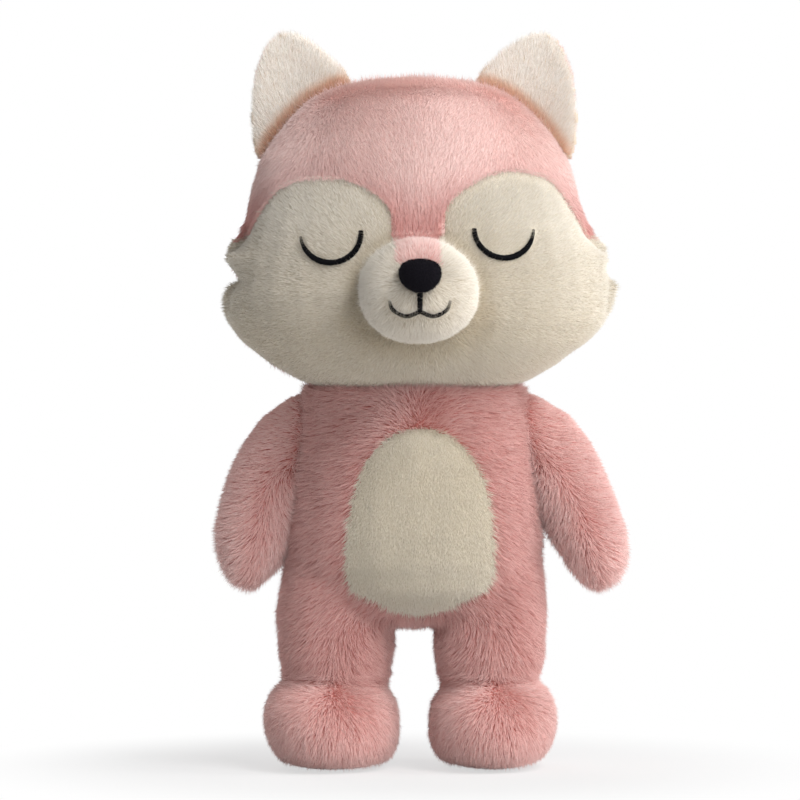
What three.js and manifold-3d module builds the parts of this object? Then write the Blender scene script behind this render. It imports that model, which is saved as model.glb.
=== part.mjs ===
// A standing stuffed fox with a big round head, closed eyes, hanging arms and a bushy tail.
// Each fur cloth panel is a shell of its own over the filling that it holds, and
// the head, the arms and the tail are separate bodies that turn at their sewn seams.
//
// Millimetres. +Z is up, the face looks along -Y, and the soles stand on z = 0.
// Left and right are the fox's own, so its left side is at +X.

import * as THREE from 'three';
import { mergeVertices } from 'three/addons/utils/BufferGeometryUtils.js';
import Module from 'manifold-3d';

const wasm = await Module();
wasm.setup();

// Fabric and seams
const fabricThickness = 3;      // fur cloth with the dense foot of its pile
const seamGap = 0.3;            // between two pieces that are sewn or pressed together
const threadThickness = 0.9;    // how proud the embroidery stands

// Torso
const neckHeight = 206;         // seam between torso and head, above the floor
const crotchHeight = 78;        // underside of the torso between the legs
const torsoWidth = 134;
const torsoFront = 53;
const torsoBack = 46;
const torsoRise = 30;           // the round form above the neck seam, cut off there

// Head
const headSink = 7.5;           // the round form below the neck seam, cut off there
const headHeight = 175;
const headWidth = 181;
const headFront = 72;
const headBack = 72;
const cutReach = 2 * (neckHeight + headHeight); // overrun of every cutting solid
const panelSeamY = 8;           // seam between the front panels and the back of the head
const tuftLength = 34;
const tuftWidth = 34;
const tuftThickness = 34;
const tuftOutset = 6.5;         // middle of a tuft outside its place on the cheek

// Face
const browHeight = 112;         // top of the pale mask above the neck seam
const browBottom = 82;          // where the pink point meets the muzzle
const browSideHeight = 79;
const browWidth = 182;
const muzzleWidth = 63;
const muzzleHeight = 54;
const muzzleRise = 51;          // middle of the muzzle above the neck seam
const muzzleRoot = 52;          // how far in front of the head's axis the muzzle begins
const muzzleTip = 107;
const bridgeWidth = 23;
const noseWidth = 22;
const noseHeight = 17.5;
const noseRise = 57;
const noseFront = 8.5;
const noseBack = 5;
const eyeSpacing = 91;
const leftEyeRise = 82.9;       // ends of the lashes above the neck seam
const rightEyeRise = 80.4;
const rightEyeTilt = 5;         // degrees by which the outer end hangs lower
const eyeWidth = 31;
const eyeDepth = 15.5;            // how far the closed lid's line hangs below its ends
const threadWidth = 2;
const mouthWidth = 32;
const mouthDrop = 12.5;
const mouthLift = 8.5;
const philtrumLength = 9.5;

// Ears
const earSpacing = 142;         // between the tips
const earHeight = 82;
const earWidth = 60;
const earLayer = 6.5;           // thickness of one of the ear's two cloth layers
const earDish = 5;              // how deeply the ear is cupped
const earRise = 25;             // tip above the top of the head
const earSetback = 5;           // behind the seam between the crown and the head's back
const earRim = 1.2;             // by which the back layer stands past the front one
const earOutset = 14;           // how far the tip stands outside the root

// Belly patch
const bellyWidth = 78;
const bellyHeight = 101;
const bellyBottom = 82;

// Arms
const shoulderDrop = 22;        // shoulder axis below the neck seam
const shoulderOut = 54;         // where the shoulder seam crosses its axis
const shoulderFlare = 0.21;     // slope of the round shoulder seam
const armLength = 108;
const armWidth = 42;
const armDepth = 42;
const leftArmSpread = 55;       // from the hidden root to the hand, sideways
const rightArmSpread = 50;      // this arm hangs closer
const armForward = 8;           // degrees by which the arm hangs forward
const armRootDepth = 9;         // root of the arm's form inside the shoulder seam

// Legs and feet
const legSpacing = 82;
const legWidth = 60;
const legFront = 37;
const legBack = 37;
const legTop = 128;
const legBottom = 34;
const footSpacing = 87;
const footWidth = 70;
const footFront = 57;
const footBack = 37;
const footHeight = 53;
const soleFlat = 0.5;           // depth by which the round foot is cut flat
const soleThickness = 4;

// Tail
const tailHeight = 104;         // hinge above the floor
const tailOutset = 8;           // hinge behind the torso's back
const tailRootRadius = 14;
const tailReach = 36.5;         // how far the tail stands back from its hinge
const tailRise = 92;            // how far it climbs
const tailWidth = 56;
const tailTipRise = 36;         // height of the pale tip

// Each table below holds [place along the form, share of the full size there].
const headWidthShares = [
  [0, 1.04], [0.08, 1.09], [0.16, 1.15], [0.3, 1.157], [0.46, 1.07], [0.6, 0.996], [0.72, 0.985],
  [0.82, 0.955], [0.9, 0.95], [0.96, 1], [1, 1.04],
];
const headDepthShares = [[0, 0.98], [0.25, 1.08], [0.45, 1.05], [0.65, 1], [0.85, 0.95], [1, 0.98]];
const torsoWidthShares = [[0, 1.06], [0.2, 1.06], [0.4, 1], [0.65, 0.93], [0.82, 0.91], [1, 0.95]];
const torsoDepthShares = [[0, 1], [0.25, 1.03], [0.5, 0.98], [0.75, 0.86], [1, 0.85]];
const armWidthShares = [[0, 1.1], [0.3, 1.02], [0.6, 1], [0.8, 1.02], [1, 0.95]];
const legWidthShares = [[0, 1], [0.5, 1], [1, 1]];
const footWidthShares = [[0, 1], [0.5, 1], [0.8, 0.96], [1, 0.94]];
const footDepthShares = [[0, 1.02], [0.4, 1], [0.75, 0.86], [1, 0.72]];
const earWidthShares = [[0, 1.16], [0.16, 1.14], [0.4, 1], [0.6, 0.93], [0.78, 0.8], [0.9, 0.7], [1, 0.7]];
const muzzleShares = [[0, 1], [0.5, 1], [1, 0.98]];
const noseWidthShares = [
  [0, 0.8], [0.1, 0.9], [0.3, 0.95], [0.6, 1.03], [0.8, 1.15], [0.92, 1.3], [1, 1.35],
];
const noseDepthShares = [[0, 0.65], [0.3, 0.85], [0.65, 1.03], [0.85, 1.06], [1, 1]];
const tailShares = [[0, 0.5], [0.2, 0.58], [0.45, 0.9], [0.7, 1], [0.88, 0.9], [1, 0.72]];

// Each path below holds [share of its sideways reach, share of its length], from the root.
const earPathShares = [[0, 0], [0.1, 0.45], [0.62, 0.78], [1, 1]];
const armPathShares = [[0, -0.1], [0.44, 0.05], [0.77, 0.37], [1, 0.8]];
const tailPathShares = [[0, 0], [0.5, 0.1], [0.86, 0.42], [1, 1]];
const lipShares = [[1, 1], [0.86, 0.35], [0.52, 0]];

// The fullness of a form is the power of the curve that closes its two ends.
const headFullness = 2.6;
const torsoFullness = 3.2;
const limbFullness = 2.5;
const legFullness = 3.4;
const footFullness = 2.5;
const soleFullness = 3.4;       // closes the foot's underside, flatter than its top
const earFullness = 2.1;
const muzzleFullness = 2.3;
const roundFullness = 2;
const squareSection = 2.3;
const roundSection = 2;

// Materials
const cloth = (color, roughness = 0.95) => (
  new THREE.MeshStandardMaterial({ color, roughness, metalness: 0 })
);
const pinkFur = cloth('#dd9f98');
const paleFur = cloth('#e6ddcd');
const mutedPinkFur = cloth('#ecc9bf');
const blackFelt = cloth('#17141c', 0.85);
const blackThread = cloth('#1a181e', 0.6);
const filling = cloth('#f2f0ea', 1);

// Curve through the shares of a table, with a smooth slope at each.
function smoothShares(shares) {
  const last = shares.length - 1;
  const slopeAt = (index) => {
    const [placeBefore, shareBefore] = shares[Math.max(index - 1, 0)];
    const [placeAfter, shareAfter] = shares[Math.min(index + 1, last)];
    return (shareAfter - shareBefore) / (placeAfter - placeBefore);
  };
  return (place) => {
    const next = shares.findIndex(([where]) => where >= place);
    const after = Math.min(Math.max(next, 1), last);
    const [startPlace, startShare] = shares[after - 1];
    const [endPlace, endShare] = shares[after];
    const span = endPlace - startPlace;
    const t = (place - startPlace) / span;
    const blend = t * t * (3 - 2 * t);
    const leave = t * (1 - t) * (1 - t) * slopeAt(after - 1) * span;
    const arrive = t * t * (t - 1) * slopeAt(after) * span;
    return startShare + blend * (endShare - startShare) + leave + arrive;
  };
}

const powerOf = (value, section) => Math.sign(value) * Math.abs(value) ** (2 / section);

// A form filled with stuffing: rounded rings along a path, closed by a pole at either end.
// front lies against the across direction and back along it, and width is square to both.
// inset draws the whole surface in, and detailShare is the share of its rings and sides kept.
function stuffedForm(form, inset = 0, detailShare = 1) {
  const rings = Math.round(form.rings * detailShare);
  const sides = Math.round((form.sides * detailShare) / 2) * 2;
  const widthShare = smoothShares(form.widthShares);
  const depthShare = smoothShares(form.depthShares);
  const section = form.section ?? roundSection;
  const trim = inset / form.path.getLength();
  const positions = [];
  for (let ring = 0; ring <= rings; ring += 1) {
    const share = (1 - Math.cos((Math.PI * ring) / rings)) / 2;
    const along = trim + share * (1 - 2 * trim);
    const point = form.path.getPointAt(along);
    const side = form.path.getTangentAt(along).cross(form.across).normalize();
    if (ring === 0 || ring === rings) {
      positions.push(point.x, point.y, point.z);
    } else {
      const fullness = share < 0.5 ? form.rootFullness ?? form.fullness : form.fullness;
      const taper = (1 - Math.abs(2 * share - 1) ** fullness) ** (1 / fullness);
      for (let step = 0; step < sides; step += 1) {
        const turn = (2 * Math.PI * step) / sides;
        const sideways = powerOf(Math.cos(turn), section);
        const depthwise = powerOf(Math.sin(turn), section);
        const depth = depthwise < 0 ? form.front : form.back;
        const reach = sideways * (form.width / 2 - inset) * widthShare(share) * taper;
        const dish = (form.dish ?? 0) * (1 - sideways * sideways) * taper;
        const swell = depthwise * Math.max(depth - inset, 0) * depthShare(share) * taper + dish;
        const vertex = point.clone().addScaledVector(side, reach).addScaledVector(form.across, swell);
        positions.push(vertex.x, vertex.y, vertex.z);
      }
    }
  }
  return solidOf(positions, ringFaces(rings, sides));
}

// Faces between the rings of a form, whose first and last rings are single points.
function ringFaces(rings, sides) {
  const faces = [];
  const lastPole = 1 + (rings - 1) * sides;
  const at = (ring, step) => 1 + (ring - 1) * sides + (step % sides);
  for (let step = 0; step < sides; step += 1) {
    faces.push(0, at(1, step + 1), at(1, step));
    faces.push(lastPole, at(rings - 1, step), at(rings - 1, step + 1));
    for (let ring = 1; ring < rings - 1; ring += 1) {
      faces.push(at(ring, step), at(ring, step + 1), at(ring + 1, step + 1));
      faces.push(at(ring, step), at(ring + 1, step + 1), at(ring + 1, step));
    }
  }
  return faces;
}

// A solid from vertices and faces, turned the right way out.
function solidOf(positions, faces) {
  const build = (indices) => new wasm.Manifold(new wasm.Mesh({
    numProp: 3,
    vertProperties: new Float32Array(positions),
    triVerts: new Uint32Array(indices),
  }));
  const solid = build(faces);
  return solid.volume() > 0 ? solid : build([...faces].reverse());
}

// A solid from a closed three.js geometry.
function solidFrom(geometry) {
  const bare = geometry.clone();
  bare.deleteAttribute('normal');
  bare.deleteAttribute('uv');
  const welded = mergeVertices(bare.index ? bare.toNonIndexed() : bare);
  return solidOf(welded.attributes.position.array, welded.index.array);
}

// An outline of [x, z] points, pushed through along Y from one depth to another.
function throughFront(points, fromY, toY) {
  const shape = new THREE.Shape(points.map(([x, z]) => new THREE.Vector2(x, z)));
  const geometry = new THREE.ExtrudeGeometry(shape, { depth: toY - fromY, bevelEnabled: false });
  geometry.rotateX(Math.PI / 2);
  geometry.translate(0, toY, 0);
  return solidFrom(geometry);
}

// The outline grown by a distance, each point along the mean of its two edges' normals.
function grownOutline(points, distance) {
  const count = points.length;
  const area = points.reduce((sum, [x, z], index) => {
    const [nextX, nextZ] = points[(index + 1) % count];
    return sum + x * nextZ - nextX * z;
  }, 0);
  return points.map(([x, z], index) => {
    const [beforeX, beforeZ] = points[(index + count - 1) % count];
    const [afterX, afterZ] = points[(index + 1) % count];
    const run = new THREE.Vector2(afterX - beforeX, afterZ - beforeZ).normalize();
    const outward = Math.sign(area) * distance;
    return [x + run.y * outward, z - run.x * outward];
  });
}

// Points of a smooth curve through [x, z] points.
function smoothOutline(points, count) {
  const curve = new THREE.SplineCurve(points.map(([x, z]) => new THREE.Vector2(x, z)));
  return curve.getPoints(count).map(({ x, y }) => [x, y]);
}

// A ribbon of even width along [x, z] points, with its ends cut square.
function ribbonOutline(points, width) {
  const edge = (sign) => points.map(([x, z], index) => {
    const [beforeX, beforeZ] = points[Math.max(index - 1, 0)];
    const [afterX, afterZ] = points[Math.min(index + 1, points.length - 1)];
    const run = new THREE.Vector2(afterX - beforeX, afterZ - beforeZ).normalize();
    return [x - (run.y * sign * width) / 2, z + (run.x * sign * width) / 2];
  });
  return [...edge(1), ...edge(-1).reverse()];
}

// All space on one side of a height or a depth.
function halfSpace(axis, from, to) {
  const size = new THREE.Vector3(2 * cutReach, 2 * cutReach, 2 * cutReach);
  size[axis] = to - from;
  const box = new THREE.BoxGeometry(size.x, size.y, size.z);
  const centre = new THREE.Vector3();
  centre[axis] = (from + to) / 2;
  box.translate(centre.x, centre.y, centre.z);
  return solidFrom(box);
}

const straightPath = (start, end) => new THREE.LineCurve3(start, end);
const curvedPath = (points) => new THREE.CatmullRomCurve3(points);
const point = (x, y, z) => new THREE.Vector3(x, y, z);
const alongX = point(1, 0, 0);
const alongY = point(0, 1, 0);
const alongZ = point(0, 0, 1);
const above = (height) => halfSpace('z', height, cutReach);
const below = (height) => halfSpace('z', -cutReach, height);
const behind = (depth) => halfSpace('y', depth, cutReach);
const ahead = (depth) => halfSpace('y', -cutReach, depth);
const coarseShare = 0.5;        // of the cloth's rings and sides, on what lies under it
const fillingInset = fabricThickness + seamGap;

// Torso, a pear that is widest at the hips
const torsoForm = {
  path: straightPath(point(0, 0, crotchHeight), point(0, 0, neckHeight + torsoRise)),
  across: alongY,
  width: torsoWidth,
  front: torsoFront,
  back: torsoBack,
  widthShares: torsoWidthShares,
  depthShares: torsoDepthShares,
  fullness: torsoFullness,
  section: squareSection,
  rings: 13,
  sides: 24,
};

// Everything on the torso's side of the round shoulder seam, which runs about the shoulder
// axis so that the arm swings on it without cutting in.
const shoulderHeight = neckHeight - shoulderDrop;
function shoulderSide(side, gap) {
  const profile = [[0, -cutReach], [cutReach, -cutReach], [cutReach, shoulderFlare * cutReach], [0, 0]];
  const seam = new THREE.LatheGeometry(profile.map(([r, x]) => new THREE.Vector2(r, x)), 32);
  seam.rotateZ(-side * Math.PI / 2);
  seam.translate(side * (shoulderOut + gap), 0, shoulderHeight);
  return solidFrom(seam);
}

const tailHinge = point(0, torsoBack + tailOutset, tailHeight);
function tailSocket(gap) {
  const ball = new THREE.SphereGeometry(tailRootRadius + gap, 14, 10);
  ball.translate(tailHinge.x, tailHinge.y, tailHinge.z);
  return solidFrom(ball);
}

// The torso's form where it is free of the head, the arms and the tail.
function torsoSolid(inset, detailShare) {
  return stuffedForm(torsoForm, inset, detailShare)
    .intersect(below(neckHeight - seamGap / 2))
    .intersect(shoulderSide(1, -seamGap))
    .intersect(shoulderSide(-1, -seamGap))
    .subtract(tailSocket(seamGap));
}

// Right half of the belly patch from its top to its bottom, in shares of its half width and height
const bellyShares = [
  [0, 1], [0.36, 0.965], [0.68, 0.85], [0.88, 0.7], [0.985, 0.5], [1.02, 0.31], [1.0, 0.2],
  [0.88, 0.13], [0.6, 0.075], [0.34, 0.03], [0, 0],
];
const bellyHalf = smoothOutline(
  bellyShares.map(([x, z]) => [(x * bellyWidth) / 2, bellyBottom + z * bellyHeight]),
  22,
);
const bellyOutline = [...bellyHalf, ...bellyHalf.slice(1, -1).reverse().map(([x, z]) => [-x, z])];
const bellyCut = (gap) => throughFront(grownOutline(bellyOutline, gap), -cutReach, 0);

const torsoShell = torsoSolid(0, 1).subtract(stuffedForm(torsoForm, fabricThickness, coarseShare));
const torsoSkin = torsoShell.subtract(bellyCut(seamGap));
const bellyPatch = torsoShell.intersect(bellyCut(0));
const torsoStuffing = torsoSolid(fillingInset, coarseShare);

// Head, a wide dome over full cheeks
const headForm = {
  path: straightPath(
    point(0, 0, neckHeight - headSink),
    point(0, 0, neckHeight - headSink + headHeight),
  ),
  across: alongY,
  width: headWidth,
  front: headFront,
  back: headBack,
  widthShares: headWidthShares,
  depthShares: headDepthShares,
  fullness: headFullness,
  section: squareSection,
  rings: 18,
  sides: 32,
};

// Cheek tufts, two points of cloth on each side: the lower one is longer
const tuftPlaces = [
  { outShare: 0.957, riseShare: 0.497, lengthShare: 0.7, widthShare: 0.64, droop: 30 },
  { outShare: 0.948, riseShare: 0.314, lengthShare: 1, widthShare: 1, droop: -32 },
];
// Outline of a tuft from its root to its tip, in shares of its half width and its length
const tuftShares = [[0, 0], [1, 0], [0.84, 0.38], [0.46, 0.74], [0, 1]];
function cheekTuft(side, { outShare, riseShare, lengthShare, widthShare, droop }) {
  const length = tuftLength * lengthShare;
  const outline = tuftShares.map(([out, along]) => (
    new THREE.Vector2((out * tuftWidth * widthShare) / 2, (along - 0.5) * length)
  ));
  const tuft = new THREE.LatheGeometry(outline, 12);
  tuft.scale(tuftThickness / tuftWidth, 1, 1);
  tuft.rotateZ(-side * Math.PI / 2);
  tuft.rotateY(side * THREE.MathUtils.degToRad(droop));
  const rise = neckHeight - headSink + riseShare * headHeight;
  tuft.translate(side * (outShare * headWidth / 2 + tuftOutset), 0, rise);
  return solidFrom(tuft);
}

const neckCut = above(neckHeight + seamGap / 2);
let headOuter = stuffedForm(headForm).intersect(neckCut);
for (const side of [-1, 1]) {
  for (const place of tuftPlaces) {
    headOuter = headOuter.add(cheekTuft(side, place));
  }
}
const headShell = headOuter.subtract(stuffedForm(headForm, fabricThickness, coarseShare));
const headStuffing = stuffedForm(headForm, fillingInset, coarseShare).intersect(neckCut);
const headGrown = (growth) => stuffedForm(headForm, -growth);

// Lower edge of the pink crown on one side, from the point over the muzzle to the temple
const browShares = [
  [0.12, 0], [0.155, 0.3], [0.21, 0.58], [0.31, 0.8], [0.43, 0.95], [0.56, 1], [0.68, 0.98],
  [0.78, 0.87], [0.87, 0.6], [0.95, 0.25], [1.02, -0.03],
];
const browHalf = smoothOutline(
  browShares.map(([x, z]) => [
    (x * browWidth) / 2,
    neckHeight + browBottom + z * (browHeight - browBottom),
  ]),
  18,
);
const maskOutline = [
  ...browHalf,
  [cutReach, neckHeight + browSideHeight],
  [cutReach, 0],
  [-cutReach, 0],
  [-cutReach, neckHeight + browSideHeight],
  ...[...browHalf].reverse().map(([x, z]) => [-x, z]),
];
const maskCut = (gap) => throughFront(grownOutline(maskOutline, gap), -cutReach, cutReach);

const headBackPanel = headShell.intersect(behind(panelSeamY + seamGap));
const headFrontPanels = headShell.intersect(ahead(panelSeamY));
const crownPanel = headFrontPanels.subtract(maskCut(seamGap));
const facePanel = headFrontPanels.intersect(maskCut(0));

// Muzzle, a short rounded drum sewn onto the face, with a pink strip down its bridge
const muzzleMiddle = neckHeight + muzzleRise;
const muzzleForm = {
  path: straightPath(point(0, -muzzleRoot, muzzleMiddle), point(0, -muzzleTip, muzzleMiddle)),
  across: alongZ,
  width: muzzleWidth,
  front: muzzleHeight / 2,
  back: muzzleHeight / 2,
  widthShares: muzzleShares,
  depthShares: muzzleShares,
  fullness: muzzleFullness,
  rings: 10,
  sides: 18,
};
const onFace = headGrown(seamGap);
const muzzleShell = stuffedForm(muzzleForm)
  .subtract(stuffedForm(muzzleForm, fabricThickness, coarseShare))
  .subtract(onFace);
const muzzleStuffing = stuffedForm(muzzleForm, fillingInset, coarseShare).subtract(onFace);
const muzzleGrown = (growth) => stuffedForm(muzzleForm, -growth);
const bridgeCut = (gap) => {
  const halfWidth = bridgeWidth / 2 + gap;
  const bottom = neckHeight + noseRise - gap;
  const top = muzzleMiddle + muzzleHeight;
  return throughFront(
    [[-halfWidth, bottom], [halfWidth, bottom], [halfWidth, top], [-halfWidth, top]],
    -cutReach,
    0,
  );
};
const muzzlePanel = muzzleShell.subtract(bridgeCut(seamGap));
const muzzleBridge = muzzleShell.intersect(bridgeCut(0));

// Nose, a rounded triangle of felt on the front of the muzzle
const noseMiddle = neckHeight + noseRise;
const noseForm = {
  path: straightPath(
    point(0, -muzzleTip, noseMiddle - noseHeight / 2),
    point(0, -muzzleTip, noseMiddle + noseHeight / 2),
  ),
  across: alongY,
  width: noseWidth,
  front: noseFront,
  back: noseBack,
  widthShares: noseWidthShares,
  depthShares: noseDepthShares,
  fullness: roundFullness,
  rings: 8,
  sides: 14,
};
const nose = stuffedForm(noseForm).subtract(muzzleGrown(seamGap)).subtract(onFace);

// Embroidered thread: a line drawn on the front and raised over the surface that it is sewn to
function embroidery(outline, grown, fromY, toY) {
  return throughFront(outline, fromY, toY)
    .intersect(grown(seamGap + threadThickness))
    .subtract(grown(seamGap));
}
function closedEye(side) {
  const middle = new THREE.Vector2((side * eyeSpacing) / 2, neckHeight);
  middle.y += side > 0 ? leftEyeRise : rightEyeRise;
  const tilt = side > 0 ? 0 : THREE.MathUtils.degToRad(rightEyeTilt);
  const arc = new THREE.EllipseCurve(
    middle.x,
    middle.y,
    eyeWidth / 2,
    eyeDepth,
    Math.PI,
    2 * Math.PI,
  );
  const points = arc.getPoints(10).map((place) => place.rotateAround(middle, tilt).toArray());
  return embroidery(ribbonOutline(points, threadWidth), headGrown, -cutReach, 0);
}
const mouthTop = noseMiddle - noseHeight / 2 - seamGap;
const lipLine = (side) => smoothOutline(
  [
    ...lipShares.map(([out, lift]) => [
      (side * out * mouthWidth) / 2,
      mouthTop - mouthDrop + lift * mouthLift,
    ]),
    [0, mouthTop - philtrumLength],
  ],
  8,
);
const mouthLines = [[[0, mouthTop], [0, mouthTop - philtrumLength]], lipLine(1), lipLine(-1)];
const mouth = mouthLines
  .map((line) => embroidery(ribbonOutline(line, threadWidth), muzzleGrown, -cutReach, 0))
  .reduce((sum, line) => sum.add(line))
  .subtract(onFace)
  .subtract(nose);

// Ears, each of two cupped layers of cloth that are sewn together at the rim
function earForm(side, isFront) {
  const root = neckHeight - headSink + headHeight + earRise - earHeight;
  const tipX = (side * earSpacing) / 2;
  const rim = isFront ? 0 : earRim;
  const y = panelSeamY + earSetback + (isFront ? 0 : seamGap);
  return {
    path: curvedPath(earPathShares.map(([out, rise]) => (
      point(tipX - side * earOutset * (1 - out), y, root + (earHeight + rim) * rise)
    ))),
    across: alongY,
    width: earWidth + 2 * rim,
    front: isFront ? earLayer : 0,
    back: isFront ? 0 : earLayer,
    widthShares: earWidthShares,
    depthShares: muzzleShares,
    fullness: earFullness,
    dish: earDish,
    rings: 10,
    sides: 14,
  };
}
const earLayerSolid = (side, isFront) => stuffedForm(earForm(side, isFront)).subtract(onFace);

// Arms, hanging from the round shoulder seam
const armHang = THREE.MathUtils.degToRad(armForward);
function armPoint(side, outShare, dropShare) {
  const spread = side > 0 ? leftArmSpread : rightArmSpread;
  const x = side * (shoulderOut - armRootDepth + outShare * spread);
  const drop = dropShare * armLength;
  return point(x, -drop * Math.sin(armHang), shoulderHeight - drop * Math.cos(armHang));
}
function armForm(side) {
  return {
    path: curvedPath(armPathShares.map(([out, drop]) => armPoint(side, out, drop))),
    across: point(0, Math.cos(armHang), -Math.sin(armHang)),
    width: armWidth,
    front: armDepth / 2,
    back: armDepth / 2,
    widthShares: armWidthShares,
    depthShares: armWidthShares,
    fullness: limbFullness,
    rings: 12,
    sides: 16,
  };
}
const armBody = (side, inset, detailShare) => stuffedForm(armForm(side), inset, detailShare)
  .subtract(shoulderSide(side, 0));
const armSkin = (side) => armBody(side, 0, 1)
  .subtract(stuffedForm(armForm(side), fabricThickness, coarseShare));
const armStuffing = (side) => armBody(side, fillingInset, coarseShare);

// Feet, round uppers on flat soles
function footForm(side) {
  const x = (side * footSpacing) / 2;
  return {
    path: straightPath(point(x, 0, -soleFlat), point(x, 0, footHeight)),
    across: alongY,
    width: footWidth,
    front: footFront,
    back: footBack,
    widthShares: footWidthShares,
    depthShares: footDepthShares,
    rootFullness: soleFullness,
    fullness: footFullness,
    section: squareSection,
    rings: 10,
    sides: 20,
  };
}
const footShell = (side) => stuffedForm(footForm(side))
  .intersect(above(0))
  .subtract(stuffedForm(footForm(side), fabricThickness, coarseShare).intersect(above(soleThickness)));
const footUpper = (side) => footShell(side).intersect(above(soleThickness + seamGap));
const footSole = (side) => footShell(side).intersect(below(soleThickness));
const footStuffing = (side) => stuffedForm(footForm(side), fillingInset, coarseShare)
  .intersect(above(soleThickness + seamGap));

// Legs, short columns between the torso and the feet
function legForm(side) {
  const x = (side * legSpacing) / 2;
  return {
    path: straightPath(point(x, 0, legBottom), point(x, 0, legTop)),
    across: alongY,
    width: legWidth,
    front: legFront,
    back: legBack,
    widthShares: legWidthShares,
    depthShares: legWidthShares,
    fullness: legFullness,
    section: squareSection,
    rings: 8,
    sides: 16,
  };
}
const torsoGrown = stuffedForm(torsoForm, -seamGap);
const legBody = (side, inset, detailShare) => stuffedForm(legForm(side), inset, detailShare)
  .subtract(torsoGrown)
  .subtract(stuffedForm(footForm(side), -seamGap));
const legSkin = (side) => legBody(side, 0, 1)
  .subtract(stuffedForm(legForm(side), fabricThickness, coarseShare));
const legStuffing = (side) => legBody(side, fillingInset, coarseShare);

// Tail, a full brush that sags from its hinge and then climbs, with a pale tip
const tailForm = {
  path: curvedPath(tailPathShares.map(([reach, rise]) => (
    point(0, tailHinge.y + reach * tailReach, tailHinge.z + rise * tailRise)
  ))),
  across: alongX,
  width: tailWidth,
  front: tailWidth / 2,
  back: tailWidth / 2,
  widthShares: tailShares,
  depthShares: tailShares,
  fullness: limbFullness,
  rings: 12,
  sides: 16,
};
const tailTipHeight = tailHinge.z + tailRise - tailTipRise;
const tailOuter = stuffedForm(tailForm).add(tailSocket(0));
const tailShell = tailOuter.subtract(stuffedForm(tailForm, fabricThickness, coarseShare));
const tailBrush = tailShell.intersect(below(tailTipHeight - seamGap));
const tailTip = tailShell.intersect(above(tailTipHeight));
const tailStuffing = stuffedForm(tailForm, fillingInset, coarseShare);

// The scene graph: each moving body is a group that stands at its seam
const fox = new THREE.Group();
function bodyAt(pivot) {
  const group = new THREE.Group();
  group.position.copy(pivot);
  fox.add(group);
  return group;
}
function piece(group, name, solid, material) {
  const { numProp, vertProperties, triVerts } = solid.getMesh();
  const vertices = new THREE.BufferAttribute(new Float32Array(vertProperties), numProp);
  const geometry = new THREE.BufferGeometry();
  geometry.setAttribute('position', vertices);
  geometry.setIndex(new THREE.BufferAttribute(new Uint32Array(triVerts), 1));
  geometry.translate(-group.position.x, -group.position.y, -group.position.z);
  geometry.computeVertexNormals();
  const mesh = new THREE.Mesh(geometry, material);
  mesh.name = name;
  group.add(mesh);
}

const torso = bodyAt(point(0, 0, 0));
piece(torso, 'torso_skin', torsoSkin, pinkFur);
piece(torso, 'belly_patch', bellyPatch, paleFur);
piece(torso, 'torso_stuffing', torsoStuffing, filling);

const head = bodyAt(point(0, 0, neckHeight));
piece(head, 'crown_panel', crownPanel, pinkFur);
piece(head, 'face_panel', facePanel, paleFur);
piece(head, 'head_back_panel', headBackPanel, pinkFur);
piece(head, 'head_stuffing', headStuffing, filling);
piece(head, 'muzzle_panel', muzzlePanel, paleFur);
piece(head, 'muzzle_bridge', muzzleBridge, mutedPinkFur);
piece(head, 'muzzle_stuffing', muzzleStuffing, filling);
piece(head, 'nose', nose, blackFelt);
piece(head, 'mouth_stitching', mouth, blackThread);

for (const [sideName, side] of [['left', 1], ['right', -1]]) {
  piece(head, `${sideName}_eye_stitching`, closedEye(side), blackThread);
  piece(head, `${sideName}_ear_front`, earLayerSolid(side, true), paleFur);
  piece(head, `${sideName}_ear_back`, earLayerSolid(side, false), pinkFur);
  piece(torso, `${sideName}_leg_skin`, legSkin(side), pinkFur);
  piece(torso, `${sideName}_leg_stuffing`, legStuffing(side), filling);
  piece(torso, `${sideName}_foot_upper`, footUpper(side), pinkFur);
  piece(torso, `${sideName}_foot_sole`, footSole(side), pinkFur);
  piece(torso, `${sideName}_foot_stuffing`, footStuffing(side), filling);

  const arm = bodyAt(point(side * shoulderOut, 0, shoulderHeight));
  piece(arm, `${sideName}_arm_skin`, armSkin(side), pinkFur);
  piece(arm, `${sideName}_arm_stuffing`, armStuffing(side), filling);
}

const tail = bodyAt(tailHinge);
piece(tail, 'tail_brush', tailBrush, pinkFur);
piece(tail, 'tail_tip', tailTip, paleFur);
piece(tail, 'tail_stuffing', tailStuffing, filling);

export default fox;
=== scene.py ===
# Plush fox: cloth panels with their pile, filling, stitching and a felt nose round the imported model
import math

import bmesh
import bpy
import numpy as np
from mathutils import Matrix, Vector, noise
from mathutils.bvhtree import BVHTree


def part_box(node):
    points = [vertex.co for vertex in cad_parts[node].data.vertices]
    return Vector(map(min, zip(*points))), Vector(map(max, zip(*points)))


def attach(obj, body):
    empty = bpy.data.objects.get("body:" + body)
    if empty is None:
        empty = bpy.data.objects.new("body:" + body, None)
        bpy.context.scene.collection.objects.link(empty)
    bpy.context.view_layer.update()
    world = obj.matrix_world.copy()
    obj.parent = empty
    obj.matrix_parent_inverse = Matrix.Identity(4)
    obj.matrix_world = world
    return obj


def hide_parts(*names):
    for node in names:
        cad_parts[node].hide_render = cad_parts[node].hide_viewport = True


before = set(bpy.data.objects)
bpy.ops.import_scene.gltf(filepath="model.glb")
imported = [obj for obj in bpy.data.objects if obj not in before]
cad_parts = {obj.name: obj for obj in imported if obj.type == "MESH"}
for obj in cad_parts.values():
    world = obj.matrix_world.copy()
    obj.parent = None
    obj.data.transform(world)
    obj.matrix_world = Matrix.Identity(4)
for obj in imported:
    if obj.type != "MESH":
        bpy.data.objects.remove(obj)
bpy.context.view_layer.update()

scene = bpy.context.scene
mm = 0.001
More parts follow.
